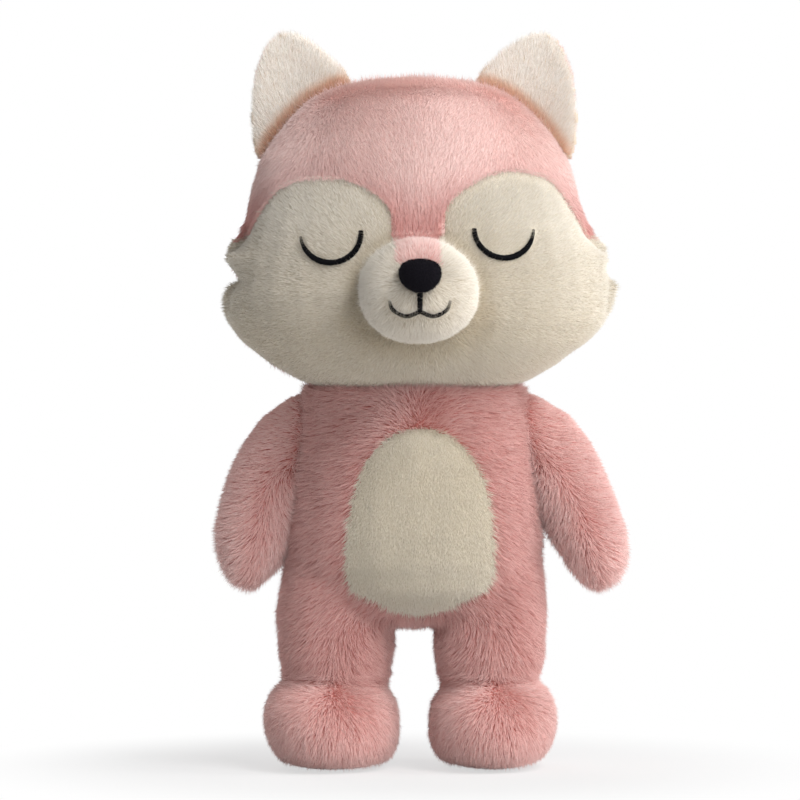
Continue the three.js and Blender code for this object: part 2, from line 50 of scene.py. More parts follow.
sides = {"left": 1, "right": -1}  # the fox's own left is at +X
print("frame loaded:", len(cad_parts), "nodes")


# Camera, lights, floor and background

studio = {
    "cameraDistance": 2200 * mm,
    "cameraTurn": math.radians(1.5),     # to the viewer's left of the face
    "frameWidth": 434.8 * mm,            # seen at the middle of the toy
    "frameCentre": (-7.6 * mm, 198.9 * mm),
    "sensor": 36,
    "lamps": {                           # place, size and power
        "key": ((0.9, -0.95, 1.6), 0.9, 20.7),
        "side": ((1.9, -0.3, 0.9), 0.9, 19.2),
        "front": ((0.8, -1.6, 0.65), 0.9, 6.6),
        "fill": ((-1.5, -1.3, 0.6), 1.2, 2.4),
        "back": ((-0.7, 1.5, 1.1), 1.4, 11.0),
    },
    "aim": (0, 0, 200 * mm),             # the lamps point at the middle of the toy
    "ambient": 0.12,
    "floorSize": 12.0,
    "floorTone": 0.86,
    "shadowReach": (0.11, 0.26),         # the floor fades to plain white between these distances
    "shadowShare": 0.36,
}


def addCamera():
    turn = studio["cameraTurn"]
    right = Vector((math.cos(turn), -math.sin(turn), 0))
    ahead = Vector((math.sin(turn), math.cos(turn), 0))
    across, height = studio["frameCentre"]
    camera = bpy.data.objects.new("camera", bpy.data.cameras.new("camera"))
    scene.collection.objects.link(camera)
    camera.location = right * across - ahead * studio["cameraDistance"] + Vector((0, 0, height))
    camera.rotation_euler = (math.pi / 2, 0, -turn)
    camera.data.sensor_width = studio["sensor"]
    camera.data.lens = studio["sensor"] * studio["cameraDistance"] / studio["frameWidth"]
    scene.camera = camera


def addAreaLight(name, place, size, power):
    light = bpy.data.lights.new(name, "AREA")
    light.size = size
    light.energy = power
    lamp = bpy.data.objects.new(name, light)
    lamp.location = place
    lamp.rotation_euler = (Vector(studio["aim"]) - Vector(place)).to_track_quat("-Z", "Y").to_euler()
    scene.collection.objects.link(lamp)


def setInputs(tree, node, values):
    # each input gets a constant, or a link where the value is another node's output
    for key, value in values.items():
        if isinstance(value, bpy.types.NodeSocket):
            tree.links.new(value, node.inputs[key])
        else:
            node.inputs[key].default_value = value


def addNode(tree, kind, inputs=None, **settings):
    node = tree.nodes.new(kind)
    for name, value in settings.items():
        setattr(node, name, value)
    setInputs(tree, node, inputs or {})
    return node


def addSockets(group, direction, sockets):
    for name, kind in sockets:
        group.interface.new_socket(name, in_out=direction, socket_type="NodeSocket" + kind)


def mathNode(tree, operation, first, second=0.0, **settings):
    return addNode(tree, "ShaderNodeMath", {0: first, 1: second}, operation=operation, **settings).outputs[0]


def vectorNode(tree, operation, first, second=(0, 0, 0), result="Vector"):
    return addNode(tree, "ShaderNodeVectorMath", {0: first, 1: second}, operation=operation).outputs[result]


def scaledVector(tree, vector, scale):
    return addNode(tree, "ShaderNodeVectorMath", {0: vector, "Scale": scale}, operation="SCALE").outputs[0]


def newMaterial(name):
    material = bpy.data.materials.new(name)
    material.use_nodes = True
    return material, material.node_tree, material.node_tree.nodes["Principled BSDF"]


def whiteRays(tree):
    # 1 where the camera looks, straight or through a gloss or a pane
    path = addNode(tree, "ShaderNodeLightPath")
    seen = mathNode(tree, "MAXIMUM", path.outputs["Is Camera Ray"], path.outputs["Is Glossy Ray"])
    return mathNode(tree, "MAXIMUM", seen, path.outputs["Is Transmission Ray"])


def addWorld():
    world = bpy.data.worlds.new("studio")
    world.use_nodes = True
    scene.world = world
    tree = world.node_tree
    seen = whiteRays(tree)
    rest = mathNode(tree, "SUBTRACT", 1.0, seen)
    strength = mathNode(tree, "ADD", mathNode(tree, "MULTIPLY", rest, studio["ambient"]), seen)
    setInputs(tree, tree.nodes["Background"], {"Strength": strength, "Color": (1, 1, 1, 1)})


def addFloor():
    bpy.ops.mesh.primitive_plane_add(size=studio["floorSize"])
    floor = bpy.context.object
    floor.name = "floor"
    material, tree, shader = newMaterial("paleFloor")
    setInputs(tree, shader, {"Base Color": (studio["floorTone"],) * 3 + (1,), "Roughness": 1.0,
                             "Specular IOR Level": 0.0})
    place = addNode(tree, "ShaderNodeTexCoord").outputs["Object"]
    distance = vectorNode(tree, "LENGTH", place, result="Value")
    near, far = studio["shadowReach"]
    fade = addNode(tree, "ShaderNodeMapRange", {
        0: distance, 1: near, 2: far, 3: 1 - studio["shadowShare"], 4: 1.0}, interpolation_type="SMOOTHSTEP")
    share = mathNode(tree, "MULTIPLY", fade.outputs[0], whiteRays(tree))
    glow = addNode(tree, "ShaderNodeEmission", {"Color": (1, 1, 1, 1), "Strength": 1.0})
    mix = addNode(tree, "ShaderNodeMixShader", {0: share, 1: shader.outputs[0], 2: glow.outputs[0]})
    setInputs(tree, tree.nodes["Material Output"], {"Surface": mix.outputs[0]})
    floor.data.materials.append(material)


addCamera()
for lampName, lamp in studio["lamps"].items():
    addAreaLight(lampName + "Light", *lamp)
addWorld()
addFloor()
scene.view_settings.view_transform = "Standard"
print("studio ready")


# Materials

def mixColor(tree, factor, first, second):
    return addNode(tree, "ShaderNodeMix", {0: factor, 6: first, 7: second}, data_type="RGBA").outputs[2]


def linear(color):
    # a colour given as 0 to 255 values, made ready for a shader
    shares = [value / 255 for value in color]
    return tuple(s / 12.92 if s <= 0.04045 else ((s + 0.055) / 1.055) ** 2.4 for s in shares) + (1.0,)


def colorRamp(tree, factor, stops):
    node = addNode(tree, "ShaderNodeValToRGB", {0: factor})
    elements = node.color_ramp.elements
    while len(elements) < len(stops):
        elements.new(0.5)
    for element, (place, color) in zip(elements, stops):
        element.position = place
        element.color = linear(color)
    return node.outputs["Color"]


# Each strand of pile keeps its tone across its map and its length up it. Roots darker than tips are partly
# the fibre's own colour and partly painted shade deep in the pile, and where the groom lowers the tone in
# creases and valleys the deep ramps give painted shade
furColors = {
    "pinkFur": {
        "deep": [(0.0, (204, 124, 116)), (0.45, (226, 173, 166)), (1.0, (236, 201, 196))],
        "pale": [(0.0, (222, 156, 148)), (0.45, (241, 208, 203)), (1.0, (249, 230, 226))],
    },
    # painted shade: a darker copy of the pink pile for the torso, legs and tail, the same cloth shaded as if
    # by the head and the light from above
    "shadedPinkFur": {
        "deep": [(0.0, (190, 110, 102)), (0.45, (212, 156, 149)), (1.0, (224, 182, 177))],
        "pale": [(0.0, (209, 139, 131)), (0.45, (229, 187, 181)), (1.0, (240, 212, 208))],
    },
    "crownFur": {
        "deep": [(0.0, (208, 142, 134)), (0.45, (221, 166, 159)), (1.0, (230, 182, 177))],
        "pale": [(0.0, (245, 214, 208)), (0.45, (247, 225, 220)), (1.0, (249, 234, 230))],
    },
    "creamFur": {
        "deep": [(0.0, (188, 168, 134)), (0.5, (219, 207, 184)), (1.0, (230, 222, 206))],
        "pale": [(0.0, (224, 217, 204)), (0.5, (244, 240, 233)), (1.0, (249, 247, 242))],
    },
    "bellyFur": {
        "deep": [(0.0, (192, 178, 154)), (0.5, (222, 213, 196)), (1.0, (230, 224, 210))],
        "pale": [(0.0, (210, 200, 182)), (0.5, (234, 228, 216)), (1.0, (241, 237, 228))],
    },
    "palePinkFur": {
        "deep": [(0.0, (206, 126, 118)), (0.5, (234, 184, 176)), (1.0, (243, 216, 209))],
        "pale": [(0.0, (224, 164, 156)), (0.5, (247, 222, 216)), (1.0, (253, 242, 238))],
    },
    # painted shade and light: the orange-brown deep ramp darkens the crease by the crown, and the near-white
    # pale ramp is partly the cream's own colour and partly painted light shining through the thin ear
    "earFur": {
        "deep": [(0.0, (214, 152, 110)), (0.5, (228, 178, 140)), (1.0, (238, 200, 172))],
        "pale": [(0.0, (249, 244, 235)), (0.5, (254, 252, 247)), (1.0, (255, 254, 251))],
    },
    "muzzleFur": {
        "deep": [(0.0, (196, 182, 160)), (0.5, (233, 225, 211)), (1.0, (240, 234, 223))],
        "pale": [(0.0, (218, 208, 190)), (0.5, (248, 243, 234)), (1.0, (253, 250, 244))],
    },
    "noseFlock": {
        "deep": [(0.0, (10, 9, 13)), (1.0, (20, 18, 24))],
        "pale": [(0.0, (14, 12, 18)), (1.0, (34, 31, 40))],
    },
}


fibres = {"roughness": 0.85, "gloss": 0.15, "clearness": 0.85}


def furMaterial(name):
    material, tree, shader = newMaterial(name)
    colors = furColors[name]
    strand = addNode(tree, "ShaderNodeUVMap", uv_map="OFBake").outputs[0]
    parts = addNode(tree, "ShaderNodeSeparateXYZ", {0: strand}).outputs
    deep = colorRamp(tree, parts["Y"], colors["deep"])
    pale = colorRamp(tree, parts["Y"], colors["pale"])
    setInputs(tree, shader, {"Base Color": mixColor(tree, parts["X"], deep, pale),
                             "Roughness": fibres["roughness"], "Specular IOR Level": fibres["gloss"]})
    # a fibre lets part of the light from a lamp through
    fromLamp = addNode(tree, "ShaderNodeLightPath").outputs["Is Shadow Ray"]
    clear = addNode(tree, "ShaderNodeBsdfTransparent")
    clearShare = mathNode(tree, "MULTIPLY", fromLamp, fibres["clearness"])
    mix = addNode(tree, "ShaderNodeMixShader", {0: clearShare, 1: shader.outputs[0], 2: clear.outputs[0]})
    setInputs(tree, tree.nodes["Material Output"], {"Surface": mix.outputs[0]})
    return material


furMaterials = {name: furMaterial(name) for name in furColors}

clothGrainScale = 240.0
clothColors = {
    # painted shade: the pink backing is darker than its pile, so the gaps between strands read as shade deep
    # in the pile
    "pinkCloth": ((178, 108, 100), (204, 134, 126)),
    "crownCloth": ((240, 204, 197), (250, 224, 219)),
    "creamCloth": ((206, 196, 176), (226, 218, 202)),
    "palePinkCloth": ((222, 164, 154), (236, 188, 180)),
    "earCloth": ((222, 204, 182), (238, 224, 206)),
    "fillingFibre": ((214, 210, 200), (244, 242, 236)),
}


def clothGrainGroup():
    # knitted backing: a fine grain that gives a mask and a height
    group = bpy.data.node_groups.new("clothGrain", "ShaderNodeTree")
    addSockets(group, "INPUT", [("Scale", "Float")])
    addSockets(group, "OUTPUT", [("Mask", "Float"), ("Height", "Float")])
    scale = addNode(group, "NodeGroupInput").outputs["Scale"]
    place = addNode(group, "ShaderNodeTexCoord").outputs["Object"]
    coarse = addNode(group, "ShaderNodeTexNoise", {"Vector": place, "Scale": scale, "Detail": 4.0})
    fineScale = mathNode(group, "MULTIPLY", scale, 6.0)
    fine = addNode(group, "ShaderNodeTexVoronoi", {"Vector": place, "Scale": fineScale})
    addNode(group, "NodeGroupOutput", {"Mask": coarse.outputs["Fac"], "Height": fine.outputs["Distance"]})
    return group


clothGrain = clothGrainGroup()


def bumpNode(tree, height, strength):
    return addNode(tree, "ShaderNodeBump", {
        "Strength": strength, "Distance": 0.3 * mm, "Height": height}).outputs[0]


def clothMaterial(name):
    material, tree, shader = newMaterial(name)
    dark, light = clothColors[name]
    grain = addNode(tree, "ShaderNodeGroup", node_tree=clothGrain)
    grain.inputs["Scale"].default_value = clothGrainScale
    setInputs(tree, shader, {
        "Base Color": mixColor(tree, grain.outputs["Mask"], linear(dark), linear(light)),
        "Normal": bumpNode(tree, grain.outputs["Height"], 0.5), "Roughness": 0.95, "Specular IOR Level": 0.1})
    return material


clothMaterials = {name: clothMaterial(name) for name in clothColors}
print("materials ready")


# Meshes: one smooth skin for each stuffed form, cut into its cloth panels

def newPiece(name, mesh):
    mesh.name = name
    obj = bpy.data.objects.new(name, mesh)
    scene.collection.objects.link(obj)
    return obj


def evaluatedMesh(obj):
    bpy.context.view_layer.update()
    graph = bpy.context.evaluated_depsgraph_get()
    return bpy.data.meshes.new_from_object(obj.evaluated_get(graph))


def readValues(collection, field, width, kind=float):
    values = np.empty(len(collection) * width, dtype=kind)
    collection.foreach_get(field, values)
    return values.reshape(-1, width)


def pointsOf(mesh):
    return readValues(mesh.vertices, "co", 3)


def normalsOf(mesh):
    return readValues(mesh.vertex_normals, "vector", 3)


def setPoints(mesh, points):
    mesh.vertices.foreach_set("co", np.ascontiguousarray(points, dtype=np.float32).ravel())
    mesh.update()


def largestShell(bm):
    # deletes all but the shell with the most vertices
    left, best = set(bm.verts), []
    while left:
        start = left.pop()
        shell, todo = [start], [start]
        while todo:
            for edge in todo.pop().link_edges:
                for vert in edge.verts:
                    if vert in left:
                        left.discard(vert)
                        shell.append(vert)
                        todo.append(vert)
        best = max(best, shell, key=len)
    keep = set(best)
    bmesh.ops.delete(bm, geom=[v for v in bm.verts if v not in keep], context="VERTS")


def voxelMesh(obj, voxel):
    # the outside of an object as one even quad mesh
    remesh = obj.modifiers.new("remesh", "REMESH")
    remesh.mode = "VOXEL"
    remesh.voxel_size = voxel
    mesh = evaluatedMesh(obj)
    obj.modifiers.clear()
    bm = bmesh.new()
    bm.from_mesh(mesh)
    largestShell(bm)
    bmesh.ops.recalc_face_normals(bm, faces=bm.faces)
    bm.to_mesh(mesh)
    bm.free()
    return mesh


def remeshedNodes(nodeNames, voxel):
    # the outside of several CAD nodes together
    bm = bmesh.new()
    for nodeName in nodeNames:
        bm.from_mesh(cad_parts[nodeName].data)
    bmesh.ops.remove_doubles(bm, verts=bm.verts, dist=1e-6)
    rough = bpy.data.meshes.new("rough")
    bm.to_mesh(rough)
    bm.free()
    obj = newPiece("rough", rough)
    mesh = voxelMesh(obj, voxel)
    bpy.data.objects.remove(obj)
    return mesh


def neighbourMean(values, edges, counts):
    total = np.zeros_like(values)
    np.add.at(total, edges[:, 0], values[edges[:, 1]])
    np.add.at(total, edges[:, 1], values[edges[:, 0]])
    return total / counts


def smoothedValues(mesh, values, rounds, factors=(0.5,)):
    edges = readValues(mesh.edges, "vertices", 2, np.int64)
    counts = np.bincount(edges.ravel(), minlength=len(mesh.vertices)).astype(float)
    counts = np.maximum(counts, 1.0).reshape((-1,) + (1,) * (values.ndim - 1))
    for _ in range(rounds):
        for factor in factors:
            values = values + factor * (neighbourMean(values, edges, counts) - values)
    return values


formSteps = (0.5, -0.52)     # one step in and one step out in each round, so that the form keeps its size
voxels = {"torso": 2.4 * mm, "head": 2.2 * mm, "ear": 1.5 * mm, "arm": 2.2 * mm, "tail": 2.2 * mm,
          "nose": 0.7 * mm, "filling": 5 * mm}
smoothRounds = {"torso": 22, "head": 22, "ear": 9, "arm": 20, "tail": 18, "nose": 14, "filling": 6}


def smoothMesh(mesh, form):
    setPoints(mesh, smoothedValues(mesh, pointsOf(mesh), smoothRounds[form], formSteps))


def smoothSkin(form, nodeNames):
    mesh = remeshedNodes(nodeNames, voxels[form])
    smoothMesh(mesh, form)
    return mesh


def panelFromFaces(mesh, faceMask, name):
    # a copy of the skin that holds only these faces, with its vertex attributes
    bm = bmesh.new()
    bm.from_mesh(mesh)
    bm.faces.ensure_lookup_table()
    bmesh.ops.delete(bm, geom=[f for f in bm.faces if not faceMask[f.index]], context="FACES")
    panel = bpy.data.meshes.new(name)
    bm.to_mesh(panel)
    bm.free()
    return panel


def setAttribute(mesh, name, values):
    kind, field = ("FLOAT_VECTOR", "vector") if values.ndim > 1 else ("FLOAT", "value")
    attribute = mesh.attributes.new(name, kind, "POINT")
    attribute.data.foreach_set(field, np.ascontiguousarray(values, dtype=np.float32).ravel())


def faceLabels(mesh, vertexLabels, labelCount):
    # each face takes the label that most of its corners have
    return np.array([np.bincount([vertexLabels[v] for v in polygon.vertices], minlength=labelCount).argmax()
                     for polygon in mesh.polygons])


# Pile: strands grown on a panel by its comb, length and tone

def namedField(tree, name, kind):
    return addNode(tree, "GeometryNodeInputNamedAttribute", {"Name": name}, data_type=kind).outputs[0]


def randomField(tree, low, high, seed, kind="FLOAT"):
    first, second, result = (0, 1, 0) if kind == "FLOAT_VECTOR" else (2, 3, 1)
    return addNode(tree, "FunctionNodeRandomValue", {"Seed": seed, first: low, second: high},
                   data_type=kind).outputs[result]


def stored(tree, geometry, name, value, kind="FLOAT", domain="POINT"):
    return addNode(tree, "GeometryNodeStoreNamedAttribute", {
        "Geometry": geometry, "Name": name, "Value": value}, data_type=kind, domain=domain).outputs[0]


def turnedRandomly(tree, rotation, low, high, seed):
    # a rotation followed by a random one about its own Z axis
    roll = addNode(tree, "FunctionNodeAxisAngleToRotation", {
        "Axis": (0, 0, 1), "Angle": randomField(tree, low, high, seed)})
    return addNode(tree, "FunctionNodeRotateRotation", {
        "Rotation": rotation.outputs[0], "Rotate By": roll.outputs[0]}, rotation_space="LOCAL").outputs[0]


def painted(tree, geometry, dropped, material):
    # the end of a tree: helper attributes removed and the material set
    for name in dropped:
        node = addNode(tree, "GeometryNodeRemoveAttribute", {"Geometry": geometry, "Name": name})
        geometry = node.outputs[0]
    node = addNode(tree, "GeometryNodeSetMaterial", {"Geometry": geometry, "Material": material})
    addNode(tree, "NodeGroupOutput", {0: node.outputs[0]})


def newGeometryTree(name, inputs):
    tree = bpy.data.node_groups.new(name, "GeometryNodeTree")
    addSockets(tree, "INPUT", [("Geometry", "Geometry"), *inputs])
    addSockets(tree, "OUTPUT", [("Geometry", "Geometry")])
    return tree, addNode(tree, "NodeGroupInput").outputs


# what each input of the fur tree is called in the dictionaries of pile below
furInputs = {"Density": "density", "Width": "width", "Lift": "lift", "Clump Size": "clump",
             "Clump Pull": "pull", "Ruffle": "ruffle", "Swirl": "swirl", "Tone Spread": "spread",
             "Seam Blend": "blend", "Own Shade": "shade"}
pileFields = ("comb", "furLength", "furTone", "inside", "softNormal")
strandSpread = {"shortest": 0.72, "longest": 1.12, "driftScale": 45.0, "cloudScale": 90.0, "lowest": 0.2 * mm}


def makeFurTree():
    tree, given = newGeometryTree("furPile", [(name, "Float") for name in furInputs]
                                  + [("Seed", "Int"), ("Material", "Material")])

    def number(operation, first, second, **settings):
        return mathNode(tree, operation, first, second, **settings)

    def seedPlus(steps):
        return number("ADD", given["Seed"], steps)

    def field(name, kind="FLOAT"):
        return namedField(tree, name, kind)

    roots = addNode(tree, "GeometryNodeDistributePointsOnFaces", {
        "Mesh": given["Geometry"], "Density": given["Density"], "Seed": given["Seed"]})
    normal = roots.outputs["Normal"]
    wander = number("MULTIPLY", randomField(tree, -1.0, 1.0, seedPlus(5)), given["Seam Blend"])
    beyondSeam = addNode(tree, "FunctionNodeCompare", {0: field("inside"), 1: wander}, data_type="FLOAT",
                         operation="LESS_THAN")
    points = addNode(tree, "GeometryNodeDeleteGeometry", {
        "Geometry": roots.outputs["Points"], "Selection": beyondSeam.outputs[0]}, domain="POINT").outputs[0]
    position = addNode(tree, "GeometryNodeInputPosition").outputs[0]
    length = number("MULTIPLY", field("furLength"), randomField(
        tree, strandSpread["shortest"], strandSpread["longest"], seedPlus(1)))

    # strands lean together over a cell of the skin, which makes the clumps
    cells = addNode(tree, "ShaderNodeTexVoronoi", {
        "Vector": position, "Scale": number("DIVIDE", 1.0, given["Clump Size"])})
    pull = vectorNode(tree, "SUBTRACT", cells.outputs["Position"], position)
    outward = vectorNode(tree, "DOT_PRODUCT", pull, normal, "Value")
    pull = vectorNode(tree, "SUBTRACT", pull, scaledVector(tree, normal, outward))
    pull = scaledVector(tree, pull, number("DIVIDE", given["Clump Pull"], length))
    drift = addNode(tree, "ShaderNodeTexNoise", {
        "Vector": position, "Scale": strandSpread["driftScale"], "Detail": 1.0})
    drift = vectorNode(tree, "SUBTRACT", drift.outputs["Color"], (0.5, 0.5, 0.5))
    stray = randomField(tree, (-1, -1, -1), (1, 1, 1), seedPlus(2), "FLOAT_VECTOR")
    way = vectorNode(tree, "ADD", scaledVector(tree, normal, given["Lift"]), field("comb", "FLOAT_VECTOR"))
    way = vectorNode(tree, "ADD", way, pull)
    way = vectorNode(tree, "ADD", way, scaledVector(tree, drift, given["Swirl"]))
    way = vectorNode(tree, "ADD", way, scaledVector(tree, stray, given["Ruffle"]))

    # tone of a strand: its place's own, its clump's and a little of its own
    clumpTone = addNode(tree, "ShaderNodeSeparateXYZ", {0: cells.outputs["Color"]}).outputs[0]
    cloud = addNode(tree, "ShaderNodeTexNoise", {
        "Vector": position, "Scale": strandSpread["cloudScale"], "Detail": 2.0}).outputs["Fac"]
    spread = number("ADD", number("SUBTRACT", clumpTone, 0.5), number("SUBTRACT", cloud, 0.5))
    spread = number("ADD", spread, randomField(tree, -0.5, 0.5, seedPlus(3)))
    tone = number("ADD", field("furTone"), number("MULTIPLY", spread, given["Tone Spread"]), use_clamp=True)
    points = stored(tree, points, "tone", tone)

    # one strand is a three-sided spike, which keeps its height and side for the map
    spike = addNode(tree, "GeometryNodeMeshCone", {
        "Vertices": 3, "Side Segments": 1, "Radius Top": 0.0, "Radius Bottom": 1.0, "Depth": 1.0},
                    fill_type="NONE")
    height = addNode(tree, "ShaderNodeSeparateXYZ", {0: position}).outputs
    strand = stored(tree, spike.outputs["Mesh"], "along", height["Z"])
    strand = stored(tree, strand, "across", height["X"])
    turn = addNode(tree, "FunctionNodeAlignRotationToVector", {"Vector": way}, axis="Z")
    turn = turnedRandomly(tree, turn, 0.0, math.tau, seedPlus(4))
    size = addNode(tree, "ShaderNodeCombineXYZ", {"X": given["Width"], "Y": given["Width"], "Z": length})
    strands = addNode(tree, "GeometryNodeInstanceOnPoints", {
        "Points": points, "Instance": strand, "Rotation": turn, "Scale": size.outputs[0]})
    pile = addNode(tree, "GeometryNodeRealizeInstances", {0: strands.outputs[0]}).outputs[0]

    # nothing reaches below the floor that the toy stands on
    axes = addNode(tree, "ShaderNodeSeparateXYZ", {0: position}).outputs
    level = number("MAXIMUM", axes["Z"], strandSpread["lowest"])
    above = addNode(tree, "ShaderNodeCombineXYZ", {"X": axes["X"], "Y": axes["Y"], "Z": level}).outputs[0]
    pile = addNode(tree, "GeometryNodeSetPosition", {"Geometry": pile, "Position": above}).outputs[0]

    # shading follows the skin more than the spike's own sides
    own = addNode(tree, "GeometryNodeInputNormal").outputs["Normal"]
    own = scaledVector(tree, own, given["Own Shade"])
    soft = vectorNode(tree, "NORMALIZE", vectorNode(tree, "ADD", own, field("softNormal", "FLOAT_VECTOR")))
    shaded = addNode(tree, "GeometryNodeSetMeshNormal", {"Mesh": pile, "Custom Normal": soft}, mode="FREE",
                     domain="POINT")

    # the map: tone across it and height up it, just inside its edges
    across = number("ADD", number("MULTIPLY", field("tone"), 0.94), number("MULTIPLY", field("across"), 0.01))
    up = number("MULTIPLY", field("along"), 0.96)
    mapPlace = addNode(tree, "ShaderNodeCombineXYZ", {
        "X": number("ADD", across, 0.03), "Y": number("ADD", up, 0.02)}).outputs[0]
    pile = stored(tree, shaded.outputs[0], "OFBake", mapPlace, "FLOAT2", "CORNER")
    painted(tree, pile, ("tone", "along", "across", *pileFields), given["Material"])
    return tree


furTree = makeFurTree()


def madeByTree(obj, tree, values):
    # the plain mesh that a Geometry Nodes tree makes of an object
    modifier = obj.modifiers.new(tree.name, "NODES")
    modifier.node_group = tree
    sockets = {item.name: item.identifier for item in tree.interface.items_tree if item.in_out == "INPUT"}
    for name, value in values.items():
        modifier[sockets[name]] = value
    mesh = evaluatedMesh(obj)
    obj.modifiers.clear()
    obj.data = mesh
    print(obj.name, len(mesh.polygons), "faces")
    return obj


def growPile(name, panel, pile, material, seed):
    # a mesh of strands on a panel, which carries the pile's fields
    values = {socket: pile[key] for socket, key in furInputs.items()}
    values["Density"] /= mm ** 2
    return madeByTree(newPiece(name, panel.copy()), furTree, {
        **values, "Seed": seed, "Material": furMaterials[material]})


longPile = {"length": 7.2 * mm, "density": 2.2, "width": 0.26 * mm, "lift": 0.5, "clump": 3.2 * mm,
            "pull": 0.36, "ruffle": 0.22, "swirl": 0.7, "spread": 0.26, "blend": 0.4 * mm, "shade": 0.3}
crownPile = {**longPile, "length": 6.0 * mm, "density": 4.0, "width": 0.2 * mm, "lift": 0.42, "pull": 0.08,
             "ruffle": 0.12, "swirl": 0.2, "spread": 0.07, "blend": 1.0 * mm, "shade": 0.22}
backPile = {**longPile, "density": 1.15, "width": 0.38 * mm}
footPile = {**longPile, "length": 6.6 * mm, "density": 2.3, "width": 0.26 * mm, "lift": 0.42, "pull": 0.24,
            "swirl": 0.4, "spread": 0.15}
shortPile = {"length": 3.0 * mm, "density": 3.95, "width": 0.18 * mm, "lift": 0.65, "clump": 2.2 * mm,
             "pull": 0.03, "ruffle": 0.15, "swirl": 0.2, "spread": 0.07, "blend": 0.4 * mm, "shade": 0.18}
bellyPile = {**shortPile, "length": 2.2 * mm, "density": 6.0, "width": 0.16 * mm, "lift": 0.8, "pull": 0.03,
             "ruffle": 0.18, "spread": 0.08, "shade": 0.14}
muzzlePile = {**shortPile, "length": 4.8 * mm, "density": 4.6, "width": 0.19 * mm, "lift": 0.6, "pull": 0.2,
              "clump": 2.4 * mm, "swirl": 0.5, "spread": 0.1, "blend": 2.0 * mm}
solePile = {**shortPile, "length": 2.6 * mm, "density": 1.2, "width": 0.35 * mm}
earPile = {**shortPile, "length": 4.6 * mm, "density": 4.4, "lift": 0.5, "swirl": 0.4, "blend": 1.2 * mm}
earBackPile = {**longPile, "length": 3.8 * mm, "density": 2.6, "blend": 0.4 * mm}
tailPile = {**longPile, "length": 10.0 * mm, "density": 1.8, "width": 0.29 * mm, "clump": 4.5 * mm,
            "pull": 1.0}
nosePile = {**shortPile, "length": 0.9 * mm, "density": 4.0, "width": 0.12 * mm, "clump": 1.0 * mm,
            "pull": 0.1}


def dropFields(mesh):
    for name in pileFields:
        mesh.attributes.remove(mesh.attributes[name])


def paintSmooth(mesh, material):
    mesh.materials.clear()
    mesh.materials.append(material)
    for polygon in mesh.polygons:
        polygon.use_smooth = True


clothThickness = 1.4 * mm


def backingCloth(panel, name, material):
    # the cloth that a panel's pile stands on
    obj = newPiece(name, panel)
    dropFields(panel)
    wall = obj.modifiers.new("wall", "SOLIDIFY")
    wall.thickness = clothThickness
    wall.offset = -1
    wall.use_even_offset = False
    obj.data = evaluatedMesh(obj)
    obj.modifiers.clear()
    paintSmooth(obj.data, clothMaterials[material])
    return obj


def splitByDepth(panel):
    # the front and back halves of a panel whose pile is too much for one piece
    centres = np.array([polygon.center.y for polygon in panel.polygons])
    ahead = centres < np.median(centres)
    return {"_fore": panelFromFaces(panel, ahead, "fore"), "_rear": panelFromFaces(panel, ~ahead, "rear")}


def dressPanel(panel, pilePanel, spec, body):
    # one cloth panel and the pile that grows on it, both riding on their body
    name, pile = spec["name"], spec["pile"]
    area = sum(polygon.area for polygon in panel.polygons) / mm ** 2
    parts = splitByDepth(pilePanel) if area * pile["density"] > mostStrands else {"": pilePanel}
    for index, (suffix, part) in enumerate(parts.items()):
        if suffix == "_rear":
            pile = {**pile, **{key: pile[key] * share for key, share in rearPile.items()}}
        grown = growPile(name + suffix + "_pile", part, pile, spec["fur"], spec["seed"] + index * 50)
        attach(grown, body)
    backing = backingCloth(panel, name + "_cloth", spec["cloth"])
    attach(backing, body)
    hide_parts(*spec["replaces"])


# how far the shading of the pile passes over small bumps of the skin
softRounds = {"torso": 24, "head": 40, "left_arm": 12, "right_arm": 12, "tail": 12}
mostStrands = 62000          # three triangles each, for one piece
rearPile = {"density": 0.52, "width": 1.38}   # fewer and thicker strands where a panel is split
seamReach = 3.2 * mm         # how far a seam draws the cloth in beside it
lumpSize = 26 * mm
lumpHeight = 0.7 * mm


def lumpsAt(points):
    return np.array([noise.noise(Vector(p) / lumpSize) for p in points]) * lumpHeight


